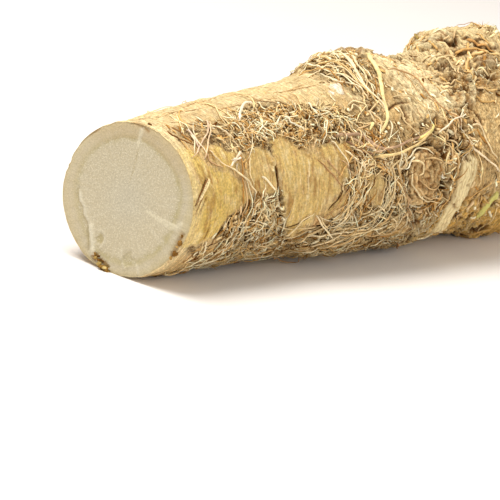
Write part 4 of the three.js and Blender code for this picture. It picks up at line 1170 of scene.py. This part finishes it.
    ([(7.0, 60.0), (4.7, 67.2), (2.2, 75.0)], 0.22, 0.5, (240, 216, 164), 0.8),
    ([(141.5, -30.9), (145.1, -37.8), (144.9, -36.3)], 0.42, 0.8, (172, 146, 84), 0.9),
    ([(102.2, 141.3), (107.9, 150.6)], 0.35, 0.9, (150, 108, 66), 1.0),
    ([(104.5, 84.6), (106.5, 87.9)], 0.34, 0.9, (250, 244, 226), 0.9),
]


def smooth_line(pts, m):
    P = np.array(pts, float)
    P[:, 1] *= DEG
    d = np.concatenate([[0], np.cumsum(np.linalg.norm(np.diff(P, axis=0), axis=1))])
    x = np.linspace(0, d[-1], m)
    if len(P) < 3:
        q = np.stack([np.interp(x, d, P[:, 0]), np.interp(x, d, P[:, 1])], 1)
    else:
        q = np.stack([curve(x, d, P[:, 0]), curve(x, d, P[:, 1])], 1)
    return q[:, 0], np.radians(q[:, 1] / DEG), d[-1]


def placed_strands(name, items, seed, m=26, sides=6):
    g = np.random.default_rng(seed)
    for flat in sorted({it[4] for it in items}):
        group = [it for it in items if it[4] == flat]
        paths, norms, rads, cols = [], [], [], []
        for pts, rad, lift, col, fl_ in group:
            w, th, L = smooth_line(pts, m)
            u = np.linspace(0, 1, m)
            wob_ = 0.22 * np.sin(u * L * 0.55 + g.uniform(0, 6)) + 0.12 * np.sin(u * L * 1.3 + g.uniform(0, 6))
            p, nn = surf(w + wob_, th)
            ends = np.clip(np.minimum(u, 1 - u) / 0.10, 0, 1)
            lf = (lift * (0.75 + 0.3 * np.sin(u * L * 0.35 + g.uniform(0, 6)))) * ends - 0.35 * (1 - ends)
            paths.append(p + nn * lf[:, None])
            norms.append(nn)
            rads.append(rad * (1 - 0.45 * u ** 1.5) * (0.55 + 0.45 * ends) * (1 + 0.08 * np.sin(u * L * 2.1)))
            cc = srgb(*col)[None] * (1 + 0.10 * np.sin(u * L * 0.8 + g.uniform(0, 6)))[:, None]
            # strands darken towards both ends, where they go under the skin: painted shade
            cols.append(np.clip(cc * (0.7 + 0.3 * ends)[:, None], 0, 1))
        pieces.append(tubes(np.array(paths), np.array(norms), np.array(rads), np.array(cols), sides, flat, "%s_%02d" % (name, round(flat * 10))))


placed_strands("long_strands", STRANDS, 1501)


def lumps(name, items, seed):
    """small rough lumps: centre in mm, radius mm, colour"""
    g = np.random.default_rng(seed)
    bm = bmesh.new()
    bmesh.ops.create_icosphere(bm, subdivisions=2, radius=1.0)
    bv = np.array([v.co[:] for v in bm.verts])
    bf = np.array([[v.index for v in f.verts] for f in bm.faces])
    bm.free()
    vs, fs, cs = [], [], []
    for at, r, col in items:
        d = bv * g.uniform(0.5, 1.4, 3)
        d = d * (1 + 0.45 * gnoise(bv * 1.3 + g.uniform(0, 50, 3), 511) + 0.25 * gnoise(bv * 3.1 + g.uniform(0, 50, 3), 513))[:, None]
        fs.append(bf + sum(len(v) for v in vs))
        vs.append(np.asarray(at) + d * r)
        shade = np.clip(0.85 + 0.5 * gnoise(bv * 2.2 + g.uniform(0, 50, 3), 515), 0.4, 1.2)
        cs.append(np.clip(srgb(*col)[None] * shade[:, None], 0, 1))
    me = make_mesh(name, to_row(np.concatenate(vs)), np.concatenate(fs))
    put(me.data, "skin", "FLOAT_COLOR", np.concatenate(cs))
    pieces.append(me)


def on_face(x, y, out=0.0):
    return rc + FU * x + FV * y + CUT_NORMAL * out


# the crumbs that stand out furthest are mostly the palest, the low ones the darkest: painted highlight and shade among
# them
CRUMBS = [(-5.2, -18.3, 0.1, 0.6, (150, 112, 54)), (-4.2, -18.9, 0.4, 0.75, (184, 150, 84)), (-3.1, -19.2, 0.3, 0.7, (128, 88, 38)),
          (-2.5, -19.9, 0.6, 0.85, (200, 172, 104)), (-1.7, -20.5, 0.3, 1.0, (160, 122, 60)), (-0.7, -20.5, 0.7, 0.8, (212, 186, 122)),
          (-0.1, -21.2, 0.3, 1.0, (150, 112, 54)), (0.7, -21.3, 0.2, 0.6, (184, 150, 84)), (-1.1, -21.3, 0.1, 0.8, (96, 62, 24)),
          (-3.7, -18.2, 0.1, 0.45, (96, 62, 24)), (-2.0, -18.9, 0.1, 0.4, (120, 84, 38)), (19.5, -2.5, -0.35, 0.5, (140, 102, 50)),
          (19.6, -4.6, -0.40, 0.8, (150, 110, 54)), (19.0, -5.9, -0.15, 0.4, (196, 160, 96)), (18.9, -7.9, -0.35, 0.65, (132, 92, 42)),
          (18.2, -9.4, -0.10, 0.4, (180, 142, 80))]
lumps("rim_crumbs", [(on_face(x, y, o), r, col) for x, y, o, r, col in CRUMBS], 1601)

# ------------------------------------------------------------------ materials


class Nodes:
    def __init__(self, name):
        self.mat = bpy.data.materials.new(name)
        self.mat.use_nodes = True
        self.t = self.mat.node_tree
        self.t.nodes.clear()
        self.out = self.t.nodes.new("ShaderNodeOutputMaterial")
        self.bsdf = self.t.nodes.new("ShaderNodeBsdfPrincipled")
        self.t.links.new(self.bsdf.outputs[0], self.out.inputs[0])

    def link(self, a, b):
        self.t.links.new(a, b)

    def attr(self, name, out="Fac"):
        n = self.t.nodes.new("ShaderNodeAttribute")
        n.attribute_name = name
        return n.outputs[out]

    def math(self, op, a, b=None, clamp=False, c=None):
        n = self.t.nodes.new("ShaderNodeMath")
        n.operation = op
        n.use_clamp = clamp
        for k, x in enumerate((a, b, c)):
            if x is None:
                continue
            if isinstance(x, (int, float)):
                n.inputs[k].default_value = x
            else:
                self.link(x, n.inputs[k])
        return n.outputs[0]

    def vmath(self, op, a, b):
        n = self.t.nodes.new("ShaderNodeVectorMath")
        n.operation = op
        for k, x in enumerate((a, b)):
            if isinstance(x, tuple):
                n.inputs[k].default_value = x
            else:
                self.link(x, n.inputs[k])
        return n.outputs[0]

    def noise(self, vec, scale, detail=3, rough=0.55, out="Fac", dist=0.0):
        n = self.t.nodes.new("ShaderNodeTexNoise")
        n.inputs["Scale"].default_value = scale
        n.inputs["Detail"].default_value = detail
        n.inputs["Roughness"].default_value = rough
        n.inputs["Distortion"].default_value = dist
        self.link(vec, n.inputs["Vector"])
        return n.outputs[out]

    def voronoi(self, vec, scale, feature="F1", out="Distance", rand=1.0):
        n = self.t.nodes.new("ShaderNodeTexVoronoi")
        n.feature = feature
        n.inputs["Scale"].default_value = scale
        n.inputs["Randomness"].default_value = rand
        self.link(vec, n.inputs["Vector"])
        return n.outputs[out]

    def ramp(self, fac, lo, hi, a=0.0, b=1.0):
        n = self.t.nodes.new("ShaderNodeMapRange")
        n.interpolation_type = "SMOOTHSTEP"
        n.inputs["From Min"].default_value = lo
        n.inputs["From Max"].default_value = hi
        n.inputs["To Min"].default_value = a
        n.inputs["To Max"].default_value = b
        self.link(fac, n.inputs["Value"])
        return n.outputs["Result"]

    def mix(self, fac, a, b, mode="MIX"):
        n = self.t.nodes.new("ShaderNodeMix")
        n.data_type = "RGBA"
        n.blend_type = mode
        n.clamp_factor = True
        for sock, x in ((n.inputs[0], fac), (n.inputs[6], a), (n.inputs[7], b)):
            if isinstance(x, (int, float)):
                sock.default_value = x
            elif isinstance(x, (tuple, np.ndarray)):
                sock.default_value = (*[float(v) for v in x], 1.0)
            else:
                self.link(x, sock)
        return n.outputs[2]

    def bump(self, height, strength, dist, normal=None):
        n = self.t.nodes.new("ShaderNodeBump")
        n.inputs["Strength"].default_value = strength
        n.inputs["Distance"].default_value = dist
        self.link(height, n.inputs["Height"])
        if normal is not None:
            self.link(normal, n.inputs["Normal"])
        return n.outputs[0]


def skin_material():
    m = Nodes("root_skin_look")
    stv = m.attr("st", "Vector")
    skin = m.attr("skin", "Color")
    rough_a = m.attr("rough")
    gran_a = m.attr("gran")
    hairy_a = m.attr("hairy")
    crust_a = m.attr("crust")
    # fine rings: fast along the root, slow round it
    rings = m.noise(m.vmath("MULTIPLY", stv, (1.35, 0.12, 0.12)), 1.0, 4, 0.65, dist=0.3)
    rings2 = m.noise(m.vmath("MULTIPLY", stv, (2.8, 0.26, 0.26)), 1.0, 3, 0.6)
    flecks = m.noise(m.vmath("MULTIPLY", stv, (1.1, 0.6, 0.6)), 1.0, 5, 0.75)
    dashes = m.noise(m.vmath("MULTIPLY", stv, (1.9, 0.55, 0.55)), 1.0, 3, 0.6)
    grains = m.voronoi(m.vmath("MULTIPLY", stv, (1.15, 0.9, 0.9)), 1.0)
    k = m.ramp(rings, 0.35, 0.68, 0.76, 1.18)
    k2 = m.ramp(rings2, 0.33, 0.67, 0.80, 1.15)
    kk = m.math("MULTIPLY", k, k2)
    kk = m.math("MULTIPLY_ADD", m.math("SUBTRACT", kk, 1.0), m.ramp(rough_a, 0.0, 1.0, 0.42, 1.0), False, 1.0)
    mott = m.noise(m.vmath("MULTIPLY", stv, (1.3, 1.2, 1.2)), 1.0, 4, 0.8)
    kk = m.math("MULTIPLY", kk, m.ramp(mott, 0.33, 0.67, 1.20, 0.76))
    kk = m.math("MULTIPLY_ADD", m.math("SUBTRACT", kk, 1.0), m.attr("lively"), False, 1.0)
    col = m.mix(1.0, skin, kk, "MULTIPLY")
    calm = m.ramp(gran_a, 0.0, 1.0, 1.0, 0.35)
    col = m.mix(m.math("MULTIPLY", m.ramp(flecks, 0.56, 0.72), m.math("MULTIPLY", m.math("MULTIPLY", rough_a, 0.6), calm)), col, srgb(132, 88, 46))
    col = m.mix(m.math("MULTIPLY", m.ramp(flecks, 0.42, 0.30), 0.5), col, srgb(244, 224, 176))
    col = m.mix(m.math("MULTIPLY", m.math("MULTIPLY", m.ramp(dashes, 0.58, 0.68), 0.55), calm), col, srgb(170, 116, 74))
    col = m.mix(m.math("MULTIPLY", m.ramp(dashes, 0.40, 0.28), 0.5), col, srgb(250, 232, 186))
    col = m.mix(m.math("MULTIPLY", gran_a, m.ramp(grains, 0.42, 0.78, 0.0, 0.36)), col, srgb(188, 142, 84))
    col = m.mix(m.math("MULTIPLY", gran_a, m.ramp(grains, 0.22, 0.05, 0.0, 0.5)), col, srgb(250, 230, 176))
    # a tangle of the finest rootlets: pale lines, with painted shade in the spaces between them
    wv = m.t.nodes.new("ShaderNodeTexNoise")
    wv.inputs["Scale"].default_value = 0.45
    wv.inputs["Detail"].default_value = 2
    m.link(stv, wv.inputs["Vector"])
    warp = m.vmath("MULTIPLY", m.vmath("SUBTRACT", wv.outputs["Color"], (0.5, 0.5, 0.5)), (4.5, 4.5, 4.5))
    sw = m.vmath("ADD", stv, warp)
    t1 = m.voronoi(m.vmath("MULTIPLY", sw, (0.66, 0.30, 0.30)), 1.0, "DISTANCE_TO_EDGE")
    t2 = m.voronoi(m.vmath("MULTIPLY", sw, (0.36, 0.50, 0.50)), 1.0, "DISTANCE_TO_EDGE")
    l1 = m.ramp(t1, 0.03, 0.11, 1.0, 0.0)
    l2 = m.ramp(t2, 0.03, 0.10, 1.0, 0.0)
    line = m.math("MAXIMUM", l1, l2)
    tangle_gap_shade = m.math("MULTIPLY", m.ramp(t1, 0.10, 0.32), m.ramp(t2, 0.10, 0.30))
    col = m.mix(m.math("MULTIPLY", m.math("MULTIPLY", tangle_gap_shade, hairy_a), 0.9), col, srgb(62, 34, 6))
    col = m.mix(m.math("MULTIPLY", m.math("MULTIPLY", line, hairy_a), 0.75), col, srgb(236, 206, 150))
    # crumbs on the crown: dark specks where the bump sinks in, partly painted shade, and pale edges on the raised
    # crumbs, painted highlights
    crumb = m.noise(m.vmath("MULTIPLY", stv, (0.85, 0.65, 0.65)), 1.0, 5, 0.75, dist=0.6)
    crumb2 = m.noise(m.vmath("MULTIPLY", stv, (0.5, 0.5, 0.5)), 1.0, 3, 0.6)
    col = m.mix(m.math("MULTIPLY", crust_a, m.ramp(crumb, 0.55, 0.63, 0.0, 0.7)), col, srgb(150, 98, 42))
    col = m.mix(m.math("MULTIPLY", crust_a, m.ramp(crumb, 0.61, 0.68, 0.0, 0.85)), col, srgb(66, 40, 14))
    col = m.mix(m.math("MULTIPLY", crust_a, m.ramp(crumb, 0.46, 0.37, 0.0, 0.7)), col, srgb(252, 230, 180))
    col = m.mix(m.math("MULTIPLY", crust_a, m.ramp(crumb2, 0.56, 0.70, 0.0, 0.4)), col, srgb(188, 124, 66))
    m.link(col, m.bsdf.inputs["Base Color"])
    ro = m.ramp(flecks, 0.3, 0.7, 0.62, 0.86)
    ro = m.math("ADD", ro, m.math("MULTIPLY", rough_a, 0.08))
    m.link(ro, m.bsdf.inputs["Roughness"])
    m.bsdf.inputs["Specular IOR Level"].default_value = 0.02
    hb = m.math("ADD", m.math("MULTIPLY", rings, 0.6), m.math("MULTIPLY", rings2, 0.25))
    hb = m.math("ADD", hb, m.math("MULTIPLY", flecks, 0.5))
    hb = m.math("ADD", hb, m.math("MULTIPLY", m.math("MULTIPLY", line, hairy_a), 0.8))
    hb = m.math("SUBTRACT", hb, m.math("MULTIPLY", m.math("MULTIPLY", crumb, crust_a), 1.6))
    hb = m.math("SUBTRACT", hb, m.math("MULTIPLY", m.math("MULTIPLY", gran_a, grains), 1.1))
    m.link(m.bump(hb, 0.9, 0.0011), m.bsdf.inputs["Normal"])
    return m.mat


def face_material():
    m = Nodes("cut_face_look")
    flat_v = m.attr("fpos", "Vector")
    skin = m.attr("skin", "Color")
    grain = m.noise(flat_v, 1.9, 3, 0.7)
    spark = m.voronoi(flat_v, 1.75)
    grainy = m.attr("grainy")
    col = m.mix(1.0, skin, m.ramp(grain, 0.33, 0.67, 0.86, 1.06), "MULTIPLY")
    # pale raised cell tops on the cut face: painted glints
    col = m.mix(m.math("MULTIPLY", grainy, m.ramp(spark, 0.12, 0.50, 0.55, 0.0)), col, srgb(220, 212, 188))
    m.link(col, m.bsdf.inputs["Base Color"])
    m.link(m.ramp(grain, 0.3, 0.7, 0.42, 0.6), m.bsdf.inputs["Roughness"])
    m.bsdf.inputs["Specular IOR Level"].default_value = 0.25
    hb = m.math("ADD", m.math("MULTIPLY", grain, 0.5), m.ramp(spark, 0.0, 0.35, 0.3, 0.0))
    m.link(m.bump(hb, 0.7, 0.0005), m.bsdf.inputs["Normal"])
    return m.mat


def fibre_material():
    m = Nodes("root_fibre_look")
    skin = m.attr("skin", "Color")
    tc = m.t.nodes.new("ShaderNodeTexCoord")
    n = m.noise(tc.outputs["Object"], 900.0, 3, 0.6)
    col = m.mix(1.0, skin, m.ramp(n, 0.3, 0.7, 0.82, 1.14), "MULTIPLY")
    m.link(col, m.bsdf.inputs["Base Color"])
    m.link(m.ramp(n, 0.3, 0.7, 0.55, 0.8), m.bsdf.inputs["Roughness"])
    m.bsdf.inputs["Specular IOR Level"].default_value = 0.03
    m.link(m.bump(n, 0.5, 0.0002), m.bsdf.inputs["Normal"])
    return m.mat


skin_mat = skin_material()
fibre_mat = fibre_material()
for ob in body:
    ob.data.materials.append(skin_mat)
cut_face.data.materials.append(face_material())
body.append(cut_face)
for ob in pieces:
    ob.data.materials.append(fibre_mat)

for ob in body:
    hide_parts("horseradish_root")
for ob in body + pieces:
    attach(ob, "root")

# ---------------------------------------------------- floor, light and camera
bm_v = np.array([[-4, -4, 0], [4, -4, 0], [4, 4, 0], [-4, 4, 0]], float)
floor = make_mesh("floor", bm_v, np.array([[0, 1, 2, 3]]), smooth=False)
fm = Nodes("floor_look")
tc = fm.t.nodes.new("ShaderNodeTexCoord")
fn = fm.noise(tc.outputs["Object"], 3.0, 2, 0.5)
fm.link(fm.mix(fn, (0.83, 0.80, 0.775), (0.85, 0.82, 0.795)), fm.bsdf.inputs["Base Color"])
fm.bsdf.inputs["Roughness"].default_value = 0.9
fm.bsdf.inputs["Specular IOR Level"].default_value = 0.2
floor.data.materials.append(fm.mat)

world = bpy.data.worlds.new("studio")
world.use_nodes = True
world.node_tree.nodes["Background"].inputs[0].default_value = (1.0, 0.945, 0.87, 1)
world.node_tree.nodes["Background"].inputs[1].default_value = 0.54
bpy.context.scene.world = world


def area(name, at, look, size, power, colour=(1, 1, 1)):
    d = bpy.data.lights.new(name, "AREA")
    d.shape = "SQUARE"
    d.size = size
    d.energy = power
    d.color = colour
    o = bpy.data.objects.new(name, d)
    o.location = at
    o.rotation_euler = (Vector(look) - Vector(at)).to_track_quat("-Z", "Y").to_euler()
    bpy.context.scene.collection.objects.link(o)


area("soft_top", (-0.30, 0.18, 0.88), (0.0, 0.0, 0.03), 0.55, 10.4, (1.0, 0.985, 0.96))
area("soft_front", (-0.35, -0.95, 0.55), (0.0, 0.0, 0.03), 0.6, 1.95, (1.0, 0.985, 0.96))
area("soft_right", (0.85, -0.35, 0.25), (0.08, 0.0, 0.03), 0.5, 2.2, (1.0, 0.985, 0.96))

# the camera: its place and directions in the root's own frame (t, p, q)
A = np.array([0.67244768, 0.11373601, -0.7313537])
E1 = np.array([0.15718306, 0.94363867, 0.29127231])
E2 = np.array([0.72326178, -0.3108218, 0.61667026])
DIST, PXMM = 600.0, 3.69
FOCAL = DIST * PXMM
F0 = np.array([(127 - 250) / FOCAL * DIST, (250 - 199.5) / FOCAL * DIST, -DIST])
M = np.stack([A, E1, E2])          # camera frame to the root's frame
R = LAID @ M
cam_at = (LAID @ (M @ -F0) + SETTLE) * 0.001
cd = bpy.data.cameras.new("camera")
cd.sensor_width = 36.0
cd.lens = FOCAL / 500 * 36.0
cd.clip_start, cd.clip_end = 0.05, 50
cam = bpy.data.objects.new("camera", cd)
m4 = Matrix.Identity(4)
for a in range(3):
    for b in range(3):
        m4[a][b] = float(R[a, b])
    m4[a][3] = float(cam_at[a])
cam.matrix_world = m4
bpy.context.scene.collection.objects.link(cam)
bpy.context.scene.camera = cam
bpy.context.scene.view_settings.view_transform = "Standard"

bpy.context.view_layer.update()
tri = sum(len(p.vertices) - 2 for ob in body + pieces for p in ob.data.polygons)
print("TRIANGLES", tri, {ob.name: sum(len(p.vertices) - 2 for p in ob.data.polygons) for ob in body + pieces})
